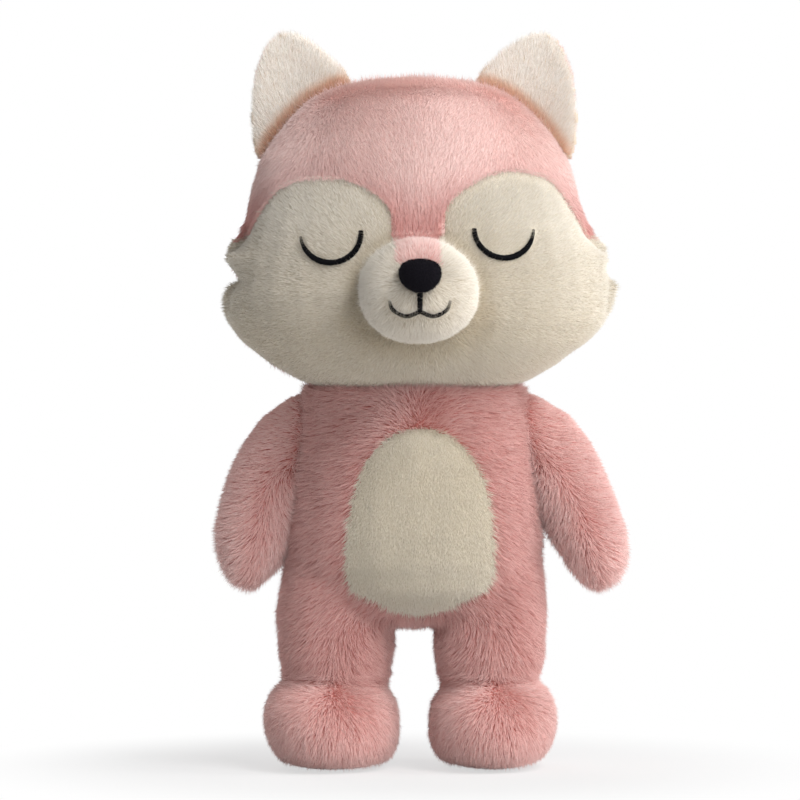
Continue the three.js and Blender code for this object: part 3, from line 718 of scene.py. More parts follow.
def dressForm(body, mesh, panels, groom, fitSeams=None):
    # panels: what the skin is made of, each with the CAD node that it lies nearest to
    normals = normalsOf(mesh)
    points = pointsOf(mesh)
    distances = np.stack([nodeGap(points, panel["node"]) for panel in panels], axis=1)
    if fitSeams:
        fitSeams(points, distances)
    labels = distances.argmin(axis=1)
    groups = np.array([panel["group"] for panel in panels])
    other = np.where(groups[None, :] == groups[labels][:, None], 1.0, distances).min(axis=1)
    seamDepth = np.array([panel["seam"] for panel in panels])[labels]
    pinch = seamDepth * np.exp(-(other / seamReach) ** 2)
    plain = np.ones(len(points))
    groomed = {"lengths": plain, "tones": plain * 0.5, "insets": plain, "covered": plain,
               **groom(points, normals, labels)}
    setAttribute(mesh, "softNormal", unit(smoothedValues(mesh, normals, softRounds[body])))
    setAttribute(mesh, "comb", smoothedValues(mesh, flatComb(groomed["comb"], normals), 3))
    lengths = np.array([panel["pile"]["length"] for panel in panels])[labels] * groomed["lengths"]
    setAttribute(mesh, "furLength", smoothedValues(mesh, lengths, 1))
    setAttribute(mesh, "furTone", np.clip(groomed["tones"], 0, 1))
    inset = np.array([panel["inset"] for panel in panels])[labels] * groomed["insets"]
    inset += pinch + lumpsAt(points)
    setPoints(mesh, points - normals * smoothedValues(mesh, inset, 3)[:, None])
    faces = faceLabels(mesh, labels, len(panels))
    setAttribute(mesh, "inside", plain)
    for label, panel in enumerate(panels):
        others = np.delete(distances, label, axis=1)
        inside = others.min(axis=1) - distances[:, label] if len(panels) > 1 else plain
        inside = np.where(groomed["covered"] > 0, inside, -1.0)
        mesh.attributes["inside"].data.foreach_set("value", inside.astype(np.float32))
        reached = np.array([any(labels[v] == label for v in polygon.vertices) for polygon in mesh.polygons])
        dressPanel(panelFromFaces(mesh, faces == label, panel["name"]),
                   panelFromFaces(mesh, reached, panel["name"]), panel, body)


def movedSeam(points, distances, labels, nodeNames, shift):
    # the seam between panels, moved over the skin by a shift given at each point
    near = np.linalg.norm(shift, axis=1) > 0
    for label, nodeName in zip(labels, nodeNames):
        distances[near, label] = nodeGap(points[near] - shift[near], nodeName)


def nodeGap(points, *nodeNames):
    # distance from each point to the nearest of these CAD nodes
    gaps = []
    for nodeName in nodeNames:
        tree = meshTree(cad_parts[nodeName].data)
        gaps.append([tree.find_nearest(Vector(p))[3] for p in points])
    return np.min(gaps, axis=0)


def meshTree(mesh):
    return BVHTree.FromPolygons([v.co for v in mesh.vertices], [p.vertices for p in mesh.polygons])


def flatComb(vectors, normals):
    # each vector turned into the skin, with its length kept up to 1
    lengths = np.minimum(np.linalg.norm(vectors, axis=1, keepdims=True), 1.0)
    flat = vectors - normals * np.sum(vectors * normals, axis=1, keepdims=True)
    return unit(flat, 0.15) * lengths


def roundwards(normals):
    # directions round an upright form, from its front to its back along the fox's left side
    return unit(np.cross((0.0, 0.0, 1.0), normals), 0.3)


def unit(vectors, softness=1e-6):
    # direction of each vector, which fades out where the vector is shorter than the softness
    lengths = np.linalg.norm(vectors, axis=1, keepdims=True)
    return vectors / np.sqrt(lengths ** 2 + softness ** 2)


def atLeast(low, share):
    return low + (1 - low) * share


def eased(values, low, high):
    share = np.clip((values - low) / (high - low), 0, 1)
    return share * share * (3 - 2 * share)


fillingDepth = 5.2 * mm


def addFilling(name, skin, replaced, body):
    # the filling that the cloth holds, set inside it
    mesh = skin.copy()
    dropFields(mesh)
    setPoints(mesh, pointsOf(mesh) - normalsOf(mesh) * fillingDepth)
    obj = newPiece(name, mesh)
    obj.data = voxelMesh(obj, voxels["filling"])
    smoothMesh(obj.data, "filling")
    paintSmooth(obj.data, clothMaterials["fillingFibre"])
    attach(obj, body)
    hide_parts(*replaced)


def panelSpec(kind, name, replaced, seed, **changes):
    return {**panelKinds[kind], "name": name, "node": replaced[0], "replaces": replaced, "seed": seed,
            "group": name, **changes}


panelKinds = {
    "pink": {"cloth": "pinkCloth", "fur": "shadedPinkFur", "slot": "pink_fur", "pile": longPile,
             "inset": 1.8 * mm, "seam": 0.9 * mm},
    "cream": {"cloth": "creamCloth", "fur": "creamFur", "slot": "cream_fur", "pile": shortPile,
              "inset": 0.9 * mm, "seam": 0.6 * mm},
    "white": {"cloth": "creamCloth", "fur": "muzzleFur", "slot": "cream_fur", "pile": muzzlePile,
              "inset": 2.0 * mm, "seam": 0.8 * mm},
    "palePink": {"cloth": "palePinkCloth", "fur": "palePinkFur", "slot": "pale_pink_fur", "pile": muzzlePile,
                 "inset": 1.6 * mm, "seam": 0.2 * mm},
}


# Torso, legs and feet: one skin with the belly panel in its front

torsoNodes = ["torso_skin", "belly_patch", "torso_stuffing"]
torsoFillings = ["torso_stuffing"]
torsoPanels = [
    panelSpec("pink", "torso", ["torso_skin"], 11, group="trunk"),
    panelSpec("cream", "belly", ["belly_patch"], 12, pile=bellyPile, fur="bellyFur"),
]
for sideName in sides:
    torsoNodes += [f"{sideName}_{part}" for part in
                   ("leg_skin", "leg_stuffing", "foot_upper", "foot_sole", "foot_stuffing")]
    torsoFillings += [f"{sideName}_leg_stuffing", f"{sideName}_foot_stuffing"]
    torsoPanels += [
        panelSpec("pink", f"{sideName}_leg", [f"{sideName}_leg_skin"], 13, group="trunk"),
        panelSpec("pink", f"{sideName}_foot", [f"{sideName}_foot_upper"], 14, group=f"{sideName}_foot",
                  seam=0.5 * mm, pile=footPile, fur="pinkFur"),
        panelSpec("pink", f"{sideName}_sole", [f"{sideName}_foot_sole"], 15, group=f"{sideName}_foot",
                  pile=solePile, fur="pinkFur"),
    ]

torsoGroom = {
    "outwards": 0.95, "downAtNeck": 0.3, "downAtHip": 0.75, "spread": 22 * mm, "sideTurn": (-0.9, 0.2),
    "chestDrop": 30 * mm, "chestReach": (35 * mm, 12 * mm), "chestRise": 0.25, "chestTone": 0.45,
    "bellyDown": 0.7, "bellyShift": (2.4 * mm, 0.0, 1.8 * mm), "bellyReach": 20 * mm,
    "rearTone": 0.45, "rearTurn": (0.2, 0.8),
    "hipReach": 12 * mm, "legFlare": 30 * mm, "legSpread": (-0.8, 0.8), "shoulderReach": (2 * mm, 14 * mm),
    "footParting": 12 * mm, "footRise": 0.97, "partingReach": (24 * mm, 6 * mm), "footTones": (0.44, 0.4),
    "partingTrim": 0.25, "footRound": (30 * mm, 8 * mm), "footTuck": 1.6, "footOutside": 40 * mm,
}


def groomTorso(points, normals, labels):
    # out and down over the body and the legs, and away from a parting on the front of each foot
    given = torsoGroom
    x, z = points[:, 0], points[:, 2]
    neck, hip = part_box("torso_skin")[1].z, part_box("torso_skin")[0].z
    drop = eased(z, hip, neck)
    out = np.tanh(x / given["spread"]) * given["outwards"] * eased(-normals[:, 1], *given["sideTurn"])
    comb = roundwards(normals) * out[:, None]
    comb[:, 2] = -(given["downAtNeck"] * drop + given["downAtHip"] * (1 - drop))
    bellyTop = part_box("belly_patch")[1].z
    overBelly = eased(z, bellyTop - given["chestDrop"], bellyTop) * eased(np.abs(x), *given["chestReach"])
    comb[:, 2] = comb[:, 2] * (1 - overBelly) + given["chestRise"] * overBelly
    # painted light: the chest under the chin is paler where the head's shadow falls, and the back is paler to
    # take back part of the painted shade of the torso's darker fur there
    atRear = eased(normals[:, 1], *given["rearTurn"])
    tones = 0.5 + given["chestTone"] * overBelly + given["rearTone"] * atRear
    lengths = np.ones(len(points))
    comb[labels == 1] = (0, 0, -given["bellyDown"])
    for sideName, side in sides.items():
        legLow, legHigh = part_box(f"{sideName}_leg_skin")
        onLeg = (z < hip + given["hipReach"]) & (x * side > 0)
        share = eased(z, hip + given["hipReach"], hip - given["hipReach"])[onLeg, None]
        across = np.clip((x[onLeg] - (legLow.x + legHigh.x) / 2) / given["legFlare"], *given["legSpread"])
        legComb = roundwards(normals[onLeg]) * across[:, None]
        legComb[:, 2] = -given["downAtHip"]
        comb[onLeg] = comb[onLeg] * (1 - share) + legComb * share
        low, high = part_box(f"{sideName}_foot_upper")
        onFoot = (z < high.z) & (x * side > 0)
        sought = np.array([(low.x + high.x) / 2, low.y, low.z + given["footRise"] * (high.z - low.z)])
        parting = points[np.linalg.norm(np.abs(points - sought) * (1, 0.05, 1), axis=1).argmin()]
        comb[onFoot] = unit(points[onFoot] - parting, given["footParting"])
        atParting = eased(np.linalg.norm(points[onFoot] - parting, axis=1), *given["partingReach"])
        tones[onFoot] = given["footTones"][0] + given["footTones"][1] * atParting
        lengths[onFoot] = 1 - given["partingTrim"] * atParting
    insets = eased(nodeGap(points, "left_arm_skin", "right_arm_skin"), *given["shoulderReach"])
    comb *= atLeast(0.3, insets)[:, None]
    # the feet are rounder at the floor than their solids, on their outer sides
    atFloor = eased(z, *given["footRound"]) * np.abs(normals[:, 0]) * (np.abs(x) > given["footOutside"])
    return {"comb": comb, "tones": tones, "lengths": lengths, "insets": insets + given["footTuck"] * atFloor}


def fitBelly(points, distances):
    # the belly panel sits a little higher and towards the fox's left
    ahead = (points[:, 1] < 0) & (distances[:, 1] < torsoGroom["bellyReach"])
    shift = ahead[:, None] * np.array(torsoGroom["bellyShift"])
    movedSeam(points, distances, (0, 1), ("torso_skin", "belly_patch"), shift)


def pushedOut(mesh, side, levels, amounts, reach, depth=1.0):
    # one side of a form moved outwards by amounts at levels, both in mm, and less away from its widest point
    points = pointsOf(mesh)
    push = np.interp(points[:, 2], np.array(levels) * mm, np.array(amounts) * mm)
    widest = points[(points[:, 0] * side).argmax(), 1]
    push *= np.exp(-((points[:, 1] - widest) / depth) ** 2)
    points[:, 0] += side * push * eased(points[:, 0] * side, *reach)
    setPoints(mesh, points)


torsoPush = [   # how far the outline of the legs moves: side, levels and amounts
    (-1, (10, 50, 85, 105), (2.6, 2.6, 2.8, 0)),
    (1, (10, 40, 60), (-1.4, -1.6, 0)),
]
torsoSkin = smoothSkin("torso", torsoNodes)
for side, levels, amounts in torsoPush:
    pushedOut(torsoSkin, side, levels, amounts, (25 * mm, 60 * mm))
dressForm("torso", torsoSkin, torsoPanels, groomTorso, fitBelly)
addFilling("torso_filling", torsoSkin, torsoFillings, "torso")
print("torso, legs and feet ready")


# Head and muzzle: one skin, with the closed eyes and the mouth stitched on it

headNodes = ["crown_panel", "face_panel", "head_back_panel", "head_stuffing", "muzzle_panel", "muzzle_bridge",
             "muzzle_stuffing"]
headPanels = [
    panelSpec("pink", "crown", ["crown_panel"], 21, pile=crownPile, fur="crownFur", cloth="crownCloth",
              group="pinkHead", seam=0.4 * mm),
    panelSpec("cream", "face", ["face_panel"], 22),
    panelSpec("pink", "head_back", ["head_back_panel"], 23, pile=backPile, fur="crownFur", cloth="crownCloth",
              group="pinkHead"),
    panelSpec("white", "muzzle", ["muzzle_panel"], 24, group="muzzle"),
    panelSpec("palePink", "bridge", ["muzzle_bridge"], 25, group="muzzle"),
]
headSkin = remeshedNodes(headNodes, voxels["head"])
headBefore = pointsOf(headSkin)
smoothMesh(headSkin, "head")
tufts = {"reach": (92 * mm, 102 * mm), "taken": (0.5 * mm, 2 * mm)}   # where the tufts keep their points
cheekPush = {                  # how far the outline of the cheeks moves out at these heights
    "levels": (212, 224, 234, 246, 256, 263, 270, 276, 280, 289, 300, 310),
    "left": (0, 2, 3.8, 3.0, 2.2, 3.8, 3.8, 7, 2.7, -1, 2, 0),
    "right": (0, 1.5, 2.3, 1, -3.2, -7.5, -1.5, 3.8, -1, -3.8, 0, 0),
    "reach": (74 * mm, 94 * mm), "depth": 34 * mm,
}
taken = np.linalg.norm(pointsOf(headSkin) - headBefore, axis=1)
keep = (eased(np.abs(headBefore[:, 0]), *tufts["reach"]) * eased(taken, *tufts["taken"]))[:, None]
shaped = pointsOf(headSkin) * (1 - keep) + smoothedValues(headSkin, headBefore, 3, formSteps) * keep
setPoints(headSkin, shaped)
for sideName, side in sides.items():
    pushedOut(headSkin, side, cheekPush["levels"], cheekPush[sideName], cheekPush["reach"],
              cheekPush["depth"])

stitches = {"eyeHalfWidth": 1.4 * mm, "philtrumHalfWidth": 1.3 * mm, "lipHalfWidth": 1.05 * mm,
            "pitch": 0.46 * mm, "eyeRise": 1.7 * mm, "mouthRise": 2.8 * mm, "taper": 0.2,
            "clears": (1.2 * mm, 3.6 * mm)}   # the pile is short up to this distance from them
closedEyes = {
    "halfWidth": 15.9 * mm, "depth": 15.2 * mm,
    "left": {"middle": (45.7 * mm, 289.0 * mm), "tilt": 0.0},
    "right": {"middle": (-46.0 * mm, 286.4 * mm), "tilt": math.radians(5)},
}


def smoothPath(points, steps):
    # a Catmull-Rom curve through the points
    points = np.array(points, dtype=float)
    padded = np.vstack([2 * points[0] - points[1], points, 2 * points[-1] - points[-2]])
    path = []
    for a, b, c, d in zip(padded, padded[1:], padded[2:], padded[3:]):
        for t in np.linspace(0, 1, steps, endpoint=False):
            path.append(0.5 * (2 * b + (c - a) * t + (2 * a - 5 * b + 4 * c - d) * t ** 2
                               + (3 * b - a - 3 * c + d) * t ** 3))
    return np.array(path + [points[-1]])


def closedEyePath(sideName):
    # from the outer end of the closed lid's line to the inner one
    across, height = closedEyes[sideName]["middle"]
    tilt = closedEyes[sideName]["tilt"]
    angles = np.linspace(0, math.pi, 40)
    out = sides[sideName] * closedEyes["halfWidth"] * np.cos(angles)
    down = -closedEyes["depth"] * np.sin(angles)
    return np.stack([across + out * math.cos(tilt) - down * math.sin(tilt),
                     height + out * math.sin(tilt) + down * math.cos(tilt)], axis=1)


# the lip's points from its outer end, as shares of the mouth's half width and of its height
smile = {"edge": 1.0 * mm, "fork": 0.76, "lip": [(1, 0.31), (0.88, 0.7), (0.45, 0.96)]}


def mouthPaths():
    low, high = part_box("mouth_stitching")
    half, drop = high.x - smile["edge"], high.z - low.z - smile["edge"]
    fork = high.z - smile["fork"] * drop
    philtrum = np.array([[0, high.z], [0, fork]])
    sideLips = [smoothPath([(s * out * half, high.z - down * drop) for out, down in smile["lip"]]
                           + [(0, fork)], 10) for s in sides.values()]
    return philtrum, sideLips


def onSurface(path, tree, rise):
    # the path laid on the front of a skin, with the skin's outward directions
    places, normals = [], []
    for x, z in path:
        place, normal, _, _ = tree.ray_cast(Vector((x, -0.3, z)), Vector((0, 1, 0)))
        places.append(place - Vector((0, rise / max(-normal.y, 0.5), 0)))
        normals.append(normal)
    normals = np.array(normals)
    for _ in range(6):
        normals[1:-1] = (normals[:-2] + normals[1:-1] + normals[2:]) / 3
    return np.array(places), unit(normals)


eyePaths = {sideName: closedEyePath(sideName) for sideName in sides}
philtrumPath, lipPaths = mouthPaths()

headGroom = {
    "crownPull": 0.42, "crownSpan": 75 * mm, "crownTurn": (-1.3, 1.3), "crownDown": 0.9, "backwards": 0.6,
    "topParting": (0.3, 0.9), "overTop": 0.9, "earFluff": (1 * mm, 7 * mm),
    "browTone": 0.25, "browRise": 0.65, "browShade": (288 * mm, 325 * mm), "edgeShade": 0.2,
    "edgeReach": 20 * mm, "backTone": 0.7,
    "muzzleLift": 1.45, "chinLift": 0.5, "noseParting": 7 * mm, "lowMuzzle": 20 * mm, "lowMuzzleTone": 0.3,
    "bridgeTone": 0.75, "valleyShadeTone": 0.15, "faceTone": 0.4, "creaseShadeReach": (2 * mm, 9 * mm), "chinShadeReach": 16 * mm,
    "foreheadLight": (262 * mm, 300 * mm), "cheekShade": (262 * mm, 225 * mm), "heightTone": 0.2,
    "browTrim": (1 * mm, 9 * mm), "tuftReach": (90 * mm, 106 * mm), "tuftGrowth": 0.5,
    "upperTuft": (258 * mm, 266 * mm),
}


def groomHead(points, normals, labels):
    given = headGroom
    crown, face, back, muzzle, bridge = (labels == label for label in range(5))
    noseLow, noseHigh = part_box("nose")
    muzzleLow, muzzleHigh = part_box("muzzle_panel")
    noseMiddle = np.array([0, noseLow.y, (noseLow.z + noseHigh.z) / 2])
    muzzleMiddle = np.array([0, muzzleHigh.y, (muzzleLow.z + muzzleHigh.z) / 2])
    comb = np.zeros_like(points)
    tones = np.full(len(points), 0.5)
    x, z = points[:, 0], points[:, 2]
    # crown: forwards over the top and down, drawn to the middle on the brow and outwards at the temples
    onTop = eased(normals[:, 2], *given["topParting"])
    comb[:, 0] = -given["crownPull"] * np.sin(np.pi * np.clip(x / given["crownSpan"], *given["crownTurn"]))
    comb[:, 1] = np.where(back, given["backwards"], -given["overTop"] * onTop)
    comb[:, 2] = -given["crownDown"]
    comb *= 1 - (0.85 * onTop * back)[:, None]
    earGap = nodeGap(points, "left_ear_front", "right_ear_front")
    comb *= atLeast(0.35, eased(earGap, *given["earFluff"]))[:, None]
    # painted shade: the crown's pile is darker low on the brow and along its edge with the face
    crownTones = given["browTone"] + given["browRise"] * eased(z, *given["browShade"])
    crownTones -= given["edgeShade"] * (1 - eased(nodeGap(points, "face_panel"), 0, given["edgeReach"]))
    tones[crown] = crownTones[crown]
    tones[back] = given["backTone"]
    # face: away from the muzzle
    away = points - muzzleMiddle
    away[:, 2] *= np.where(away[:, 2] > 0, given["muzzleLift"], given["chinLift"])
    comb[face] = unit(away)[face]
    # muzzle and bridge: away from the nose
    comb[muzzle | bridge] = unit(points - noseMiddle, given["noseParting"])[muzzle | bridge]
    # the stitching holds the pile down beside it
    lines = np.concatenate([*eyePaths.values(), philtrumPath, *lipPaths])
    gap = np.sqrt(((points[:, None, 0] - lines[None, :, 0]) ** 2
                   + (points[:, None, 2] - lines[None, :, 1]) ** 2).min(axis=1))
    gap[points[:, 1] > 0] = 1.0
    lengths = atLeast(0.2, eased(gap, *stitches["clears"]))
    # painted shade: a tan darkening in the valley round the muzzle, wider under it, darker lower cheeks and a
    # darker underside of the muzzle; painted light on the upper face
    shadeNear, shadeFar = given["creaseShadeReach"]
    below = eased(muzzleMiddle[2] - z, 0, given["lowMuzzle"])
    height = eased(z, *given["foreheadLight"]) - eased(z, *given["cheekShade"])
    clear = eased(nodeGap(points, "muzzle_panel"), shadeNear, shadeFar + given["chinShadeReach"] * below)
    tones[face] = (given["valleyShadeTone"] + given["faceTone"] * clear + given["heightTone"] * height)[face]
    tones[muzzle] -= given["lowMuzzleTone"] * below[muzzle]
    tones[bridge] = given["bridgeTone"]
    # the face's pile is short where the crown's hangs over it, and long on the tufts
    lengths[face] *= atLeast(0.45, eased(nodeGap(points, "crown_panel"), *given["browTrim"]))[face]
    onTuft = eased(np.abs(x), *given["tuftReach"]) * face
    comb[face] *= 1 - 0.5 * onTuft[face, None]
    growth = given["tuftGrowth"] * onTuft * (1 - 0.7 * eased(z, *given["upperTuft"]))
    return {"comb": comb, "lengths": lengths * (1 + growth), "tones": tones,
            "insets": (1 - onTuft) * (1 - 0.9 * below * muzzle)}


headSeams = {"leftRise": 2.4 * mm, "leftFrom": (25 * mm, 45 * mm), "rightDrop": 1.4 * mm,
             "rightFrom": (8 * mm, 25 * mm), "height": (282 * mm, 296 * mm), "overMuzzle": 6 * mm,
             "underNose": 4 * mm, "leftTrim": 0.6 * mm,
             "bare": 20 * mm}   # added to a panel's distance where it has no cloth


def fitHeadSeams(points, distances):
    # the mask reaches a little higher over the left eye, and less far over the right one
    given = headSeams
    x, z = points[:, 0], points[:, 2]
    rise = given["leftRise"] * eased(x, *given["leftFrom"])
    rise -= given["rightDrop"] * eased(-x, *given["rightFrom"])
    rise *= eased(z, *given["height"]) * (points[:, 1] < 0)
    movedSeam(points, distances, (0, 1), ("crown_panel", "face_panel"), rise[:, None] * np.array((0, 0, 1)))
    # the pink of the brow runs down to the strip on the muzzle, which ends a little under the nose's top
    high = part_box("muzzle_bridge")[1]
    between = (np.abs(x) < high.x + 1 * mm) & (z > high.z - given["overMuzzle"]) & (points[:, 1] < 0)
    distances[between, 1] += given["bare"]
    outside = (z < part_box("nose")[1].z - given["underNose"]) | (x > high.x - given["leftTrim"])
    distances[outside, 4] += given["bare"]


dressForm("head", headSkin, headPanels, groomHead, fitHeadSeams)
headTree = meshTree(headSkin)
addFilling("head_filling", headSkin, ["head_stuffing", "muzzle_stuffing"], "head")
print("head and muzzle ready")


# Ears: a cream layer and a pink one sewn together at the rim

earGroom = {"root": (56 * mm, 318 * mm), "creaseShadeReach": (2 * mm, 9 * mm), "rimTrim": (0.5 * mm, 5 * mm)}
earPush = {                    # how far the ears' outer edges move out at these heights
    "levels": (326, 340, 360, 383, 396),
    "left": (3.6, 2.8, 1.8, 3.0, 3.2),
    "right": (2.0, 0.4, 0.4, 1.8, 1.4),
    "reach": (45 * mm, 80 * mm),
}


def groomEar(points, normals, labels):
    given = earGroom
    front = labels == 0
    comb = np.zeros_like(points)
    rootX, rootZ = given["root"]
    comb[:, 0] = points[:, 0] - np.sign(points[:, 0]) * rootX
    comb[:, 2] = points[:, 2] - rootZ
    # painted shade: the cream front is darker in the crease by the crown
    fromCrown = eased(nodeGap(points, "crown_panel"), *given["creaseShadeReach"])
    fromFront = eased(nodeGap(points, "left_ear_front", "right_ear_front"), *given["rimTrim"])
    return {"comb": unit(comb), "tones": np.where(front, 0.95 * fromCrown, 1.0),
            "lengths": np.where(front, 1.0, atLeast(0.4, fromFront))}


for sideName in sides:
    front, back = f"{sideName}_ear_front", f"{sideName}_ear_back"
    earSkin = smoothSkin("ear", [front, back])
    pushedOut(earSkin, sides[sideName], earPush["levels"], earPush[sideName], earPush["reach"])
    dressForm("head", earSkin, [
        panelSpec("cream", front, [front], 31, fur="earFur", cloth="earCloth", pile=earPile, inset=0.6 * mm,
                  seam=0.0),
        panelSpec("pink", back, [back], 32, pile=earBackPile, fur="crownFur", cloth="earCloth",
                  inset=1.4 * mm, seam=0.0),
    ], groomEar)
print("ears ready")


# Arms, which hang from their shoulder seams

armGroom = {
    "partingShare": 0.45, "parting": 7 * mm, "partingWidth": 6 * mm, "partingTone": 0.3, "tone": 0.72,
    "outwards": 0.95, "inwards": 0.15, "down": 0.3, "insideDown": 0.95,
    "upperArm": (176 * mm, 148 * mm), "topTrim": 0.7, "shoulderReach": (2 * mm, 14 * mm),
    "seamPile": 0.4, "seamReach": (1 * mm, 7 * mm), "seamRadius": 11 * mm, "axisHeight": 184 * mm,
}


def groomArm(points, normals, labels):
    # out from the parting down the front, and down along the inside
    given = armGroom
    side = np.sign(points[0, 0])
    x, z = points[:, 0] * side, points[:, 2]
    levels = np.linspace(z.min(), z.max(), 24)
    inner = np.array([x[np.abs(z - level) < 6 * mm].min() for level in levels])
    outer = np.array([x[np.abs(z - level) < 6 * mm].max() for level in levels])
    fromParting = x - np.interp(z, levels, inner + given["partingShare"] * (outer - inner))
    below = eased(z, *given["upperArm"])
    out = 0.5 + 0.5 * np.tanh(fromParting / given["parting"])
    out = 1 - (1 - out) * below
    comb = roundwards(normals) * (side * (given["outwards"] * out - given["inwards"] * (1 - out)))[:, None]
    comb[:, 0] += side * np.clip(normals[:, 2], 0, 1)
    comb[:, 2] = -(given["down"] * out + given["insideDown"] * (1 - out))
    atParting = np.exp(-(fromParting / given["partingWidth"]) ** 2) * (points[:, 1] < 0) * below
    # the round face at the shoulder seam lies against the torso, with short pile and none at its middle
    torsoGap = nodeGap(points, "torso_skin")
    fromSeam = eased(torsoGap, *given["shoulderReach"])
    comb *= atLeast(0.4, fromSeam)[:, None]
    lengths = 1 - given["topTrim"] * np.clip(normals[:, 2], 0, 1)
    lengths *= atLeast(given["seamPile"], eased(torsoGap, *given["seamReach"]))
    fromAxis = np.hypot(points[:, 1], z - given["axisHeight"])
    covered = ~((normals[:, 0] * side < -0.75) & (fromAxis < given["seamRadius"]))
    return {"comb": comb, "tones": given["tone"] - given["partingTone"] * atParting, "lengths": lengths,
            "covered": covered, "insets": fromSeam}


armPush = {                    # how far the outer edges of the arms move out at these heights
    "levels": (90, 110, 135, 160), "left": (4.5, 3.5, 1.8, 0), "right": (-2, -1.8, -0.8, 0),
    "reach": (60 * mm, 70 * mm),
}
for sideName in sides:
    arm = f"{sideName}_arm"
    armSkin = smoothSkin("arm", [arm + "_skin", arm + "_stuffing"])
    pushedOut(armSkin, sides[sideName], armPush["levels"], armPush[sideName], armPush["reach"])
    dressForm(arm, armSkin, [panelSpec("pink", arm, [arm + "_skin"], 41, fur="pinkFur")], groomArm)
    addFilling(arm + "_filling", armSkin, [arm + "_stuffing"], arm)
print("arms ready")


# Tail: a bushy brush with a pale tip

tailGroom = {"way": (0.0, 0.25, 1.0), "spread": 12 * mm, "outwards": 0.4, "tone": 0.85}


def groomTail(points, normals, labels):
    comb = np.tile(tailGroom["way"], (len(points), 1))
    comb[:, 0] = np.tanh(points[:, 0] / tailGroom["spread"]) * tailGroom["outwards"]
    return {"comb": comb, "tones": np.full(len(points), tailGroom["tone"])}


tailSkin = smoothSkin("tail", ["tail_brush", "tail_tip", "tail_stuffing"])
dressForm("tail", tailSkin, [
    panelSpec("pink", "tail_brush", ["tail_brush"], 51, pile=tailPile, seam=0.5 * mm),
    panelSpec("cream", "tail_tip", ["tail_tip"], 52, pile=tailPile, inset=1.8 * mm, seam=0.5 * mm),
], groomTail)
addFilling("tail_filling", tailSkin, ["tail_stuffing"], "tail")
print("tail ready")


# Satin stitches: short threads laid side by side over a line

def blackMaterial(name, noiseInputs, dark, light, bump, roughness, gloss):
    material, tree, shader = newMaterial(name)
    place = addNode(tree, "ShaderNodeTexCoord").outputs["Object"]
    grain = addNode(tree, "ShaderNodeTexNoise", {"Vector": place, **noiseInputs}).outputs["Fac"]
    setInputs(tree, shader, {"Base Color": mixColor(tree, grain, linear(dark), linear(light)),
                             "Roughness": roughness, "Specular IOR Level": gloss})
    if bump:
        setInputs(tree, shader, {"Normal": bumpNode(tree, grain, bump)})
    return material


blackThread = blackMaterial("blackThread", {"Scale": 900.0, "Detail": 2.0},
                            (4, 4, 6), (15, 14, 18), 0, 0.8, 0.1)
blackFelt = blackMaterial("blackFelt", {"Scale": 1400.0, "Detail": 5.0, "Distortion": 0.6},
                          (5, 4, 7), (27, 24, 32), 0.6, 0.95, 0.12)


def makeStitchTree():
    tree, given = newGeometryTree("satinStitch", [("Pitch", "Float"), ("Seed", "Int"),
                                                  ("Material", "Material")])
    line = addNode(tree, "GeometryNodeMeshToCurve", {0: given["Geometry"]}).outputs[0]
    line = addNode(tree, "GeometryNodeResampleCurve", {"Curve": line, "Length": given["Pitch"]},
                   mode="LENGTH")
    thread = addNode(tree, "GeometryNodeCurveQuadraticBezier", {
        "Resolution": 6, "Start": (0, -1, -0.55), "Middle": (0, 0, 1.15), "End": (0, 1, -0.55)})
    profile = addNode(tree, "GeometryNodeCurvePrimitiveCircle", {"Resolution": 5, "Radius": 0.2})
    thread = addNode(tree, "GeometryNodeCurveToMesh", {
        "Curve": thread.outputs[0], "Profile Curve": profile.outputs[0], "Fill Caps": True})
    outward = namedField(tree, "outward", "FLOAT_VECTOR")
    tangent = addNode(tree, "GeometryNodeInputTangent").outputs[0]
    turn = addNode(tree, "FunctionNodeAxesToRotation", {0: outward, 1: tangent}, primary_axis="Z",
                   secondary_axis="X")
    turn = turnedRandomly(tree, turn, -0.12, 0.12, given["Seed"])
    size = mathNode(tree, "MULTIPLY", namedField(tree, "halfWidth", "FLOAT"),
                    randomField(tree, 0.88, 1.08, mathNode(tree, "ADD", given["Seed"], 1)))
    threads = addNode(tree, "GeometryNodeInstanceOnPoints", {
        "Points": line.outputs[0], "Instance": thread.outputs[0], "Rotation": turn, "Scale": size})
    seam = addNode(tree, "GeometryNodeRealizeInstances", {0: threads.outputs[0]}).outputs[0]
    painted(tree, seam, ("outward", "halfWidth"), given["Material"])
    return tree


stitchTree = makeStitchTree()


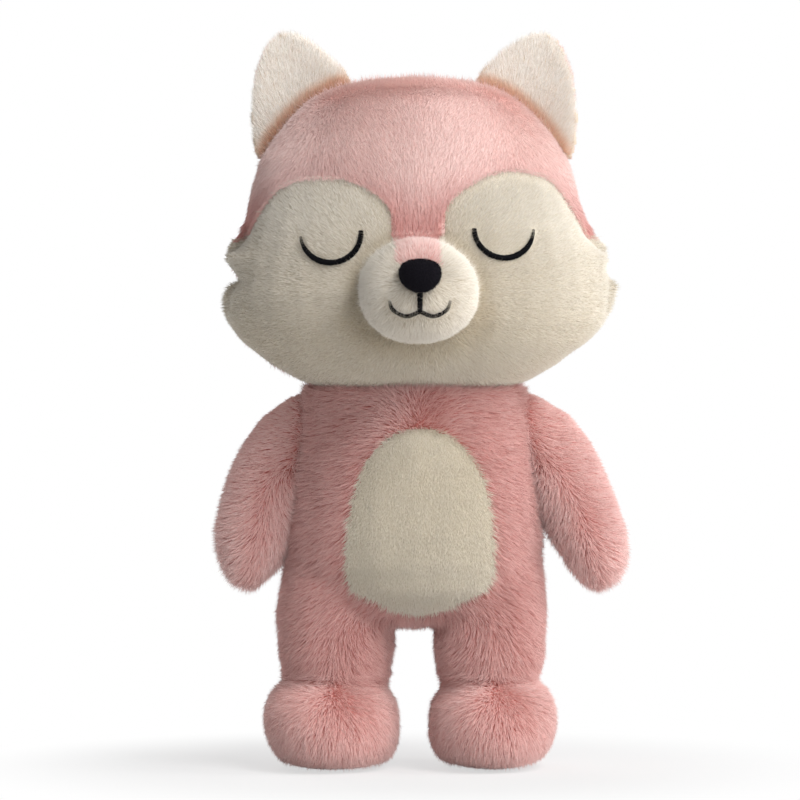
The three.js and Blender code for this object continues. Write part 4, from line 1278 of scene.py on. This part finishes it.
def stitchedLines(name, lines, rise, seed):
    # lines: path over the front of the head, half width at its middle, and shares of that at its two ends
    bm = bmesh.new()
    outwards, halfWidths = [], []
    for path, halfWidth, startShare, endShare in lines:
        places, normals = onSurface(path, headTree, rise)
        verts = [bm.verts.new(place) for place in places]
        for first, second in zip(verts, verts[1:]):
            bm.edges.new((first, second))
        along = np.linspace(0, 1, len(verts))
        reach = stitches["taper"]
        taper = np.minimum(atLeast(startShare, np.clip(along / reach, 0, 1)),
                           atLeast(endShare, np.clip((1 - along) / reach, 0, 1)))
        outwards.append(normals)
        halfWidths.append(halfWidth * taper)
    mesh = bpy.data.meshes.new(name)
    bm.to_mesh(mesh)
    bm.free()
    setAttribute(mesh, "outward", np.concatenate(outwards))
    setAttribute(mesh, "halfWidth", np.concatenate(halfWidths))
    obj = madeByTree(newPiece(name, mesh), stitchTree, {
        "Pitch": stitches["pitch"], "Seed": seed, "Material": blackThread})
    for polygon in obj.data.polygons:
        polygon.use_smooth = True
    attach(obj, "head")
    return obj


for sideName in sides:
    eye = stitchedLines(f"{sideName}_eye_thread", [(eyePaths[sideName], stitches["eyeHalfWidth"], 0.5, 0.85)],
                        stitches["eyeRise"], 61)
    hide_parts(f"{sideName}_eye_stitching")
mouthLines = [(philtrumPath, stitches["philtrumHalfWidth"], 1.0, 0.9)]
mouthLines += [(path, stitches["lipHalfWidth"], 0.6, 1.0) for path in lipPaths]
mouth = stitchedLines("mouth_thread", mouthLines, stitches["mouthRise"], 62)
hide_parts("mouth_stitching")
print("stitching ready")


# Nose: black felt with a short flock

noseSkin = smoothSkin("nose", ["nose"])
noseNormals = normalsOf(noseSkin)
plain = np.ones(len(noseNormals))
noseFields = {"comb": flatComb(np.outer(plain, (0.0, 0.0, -0.3)), noseNormals), "inside": plain,
              "furLength": plain * nosePile["length"], "furTone": plain * 0.5, "softNormal": noseNormals}
for name in pileFields:
    setAttribute(noseSkin, name, noseFields[name])
noseFlock = growPile("nose_flock", noseSkin, nosePile, "noseFlock", 71)
dropFields(noseSkin)
noseFelt = newPiece("nose_felt", noseSkin)
paintSmooth(noseSkin, blackFelt)
for piece in (noseFelt, noseFlock):
    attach(piece, "head")
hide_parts("nose")
print("nose ready")
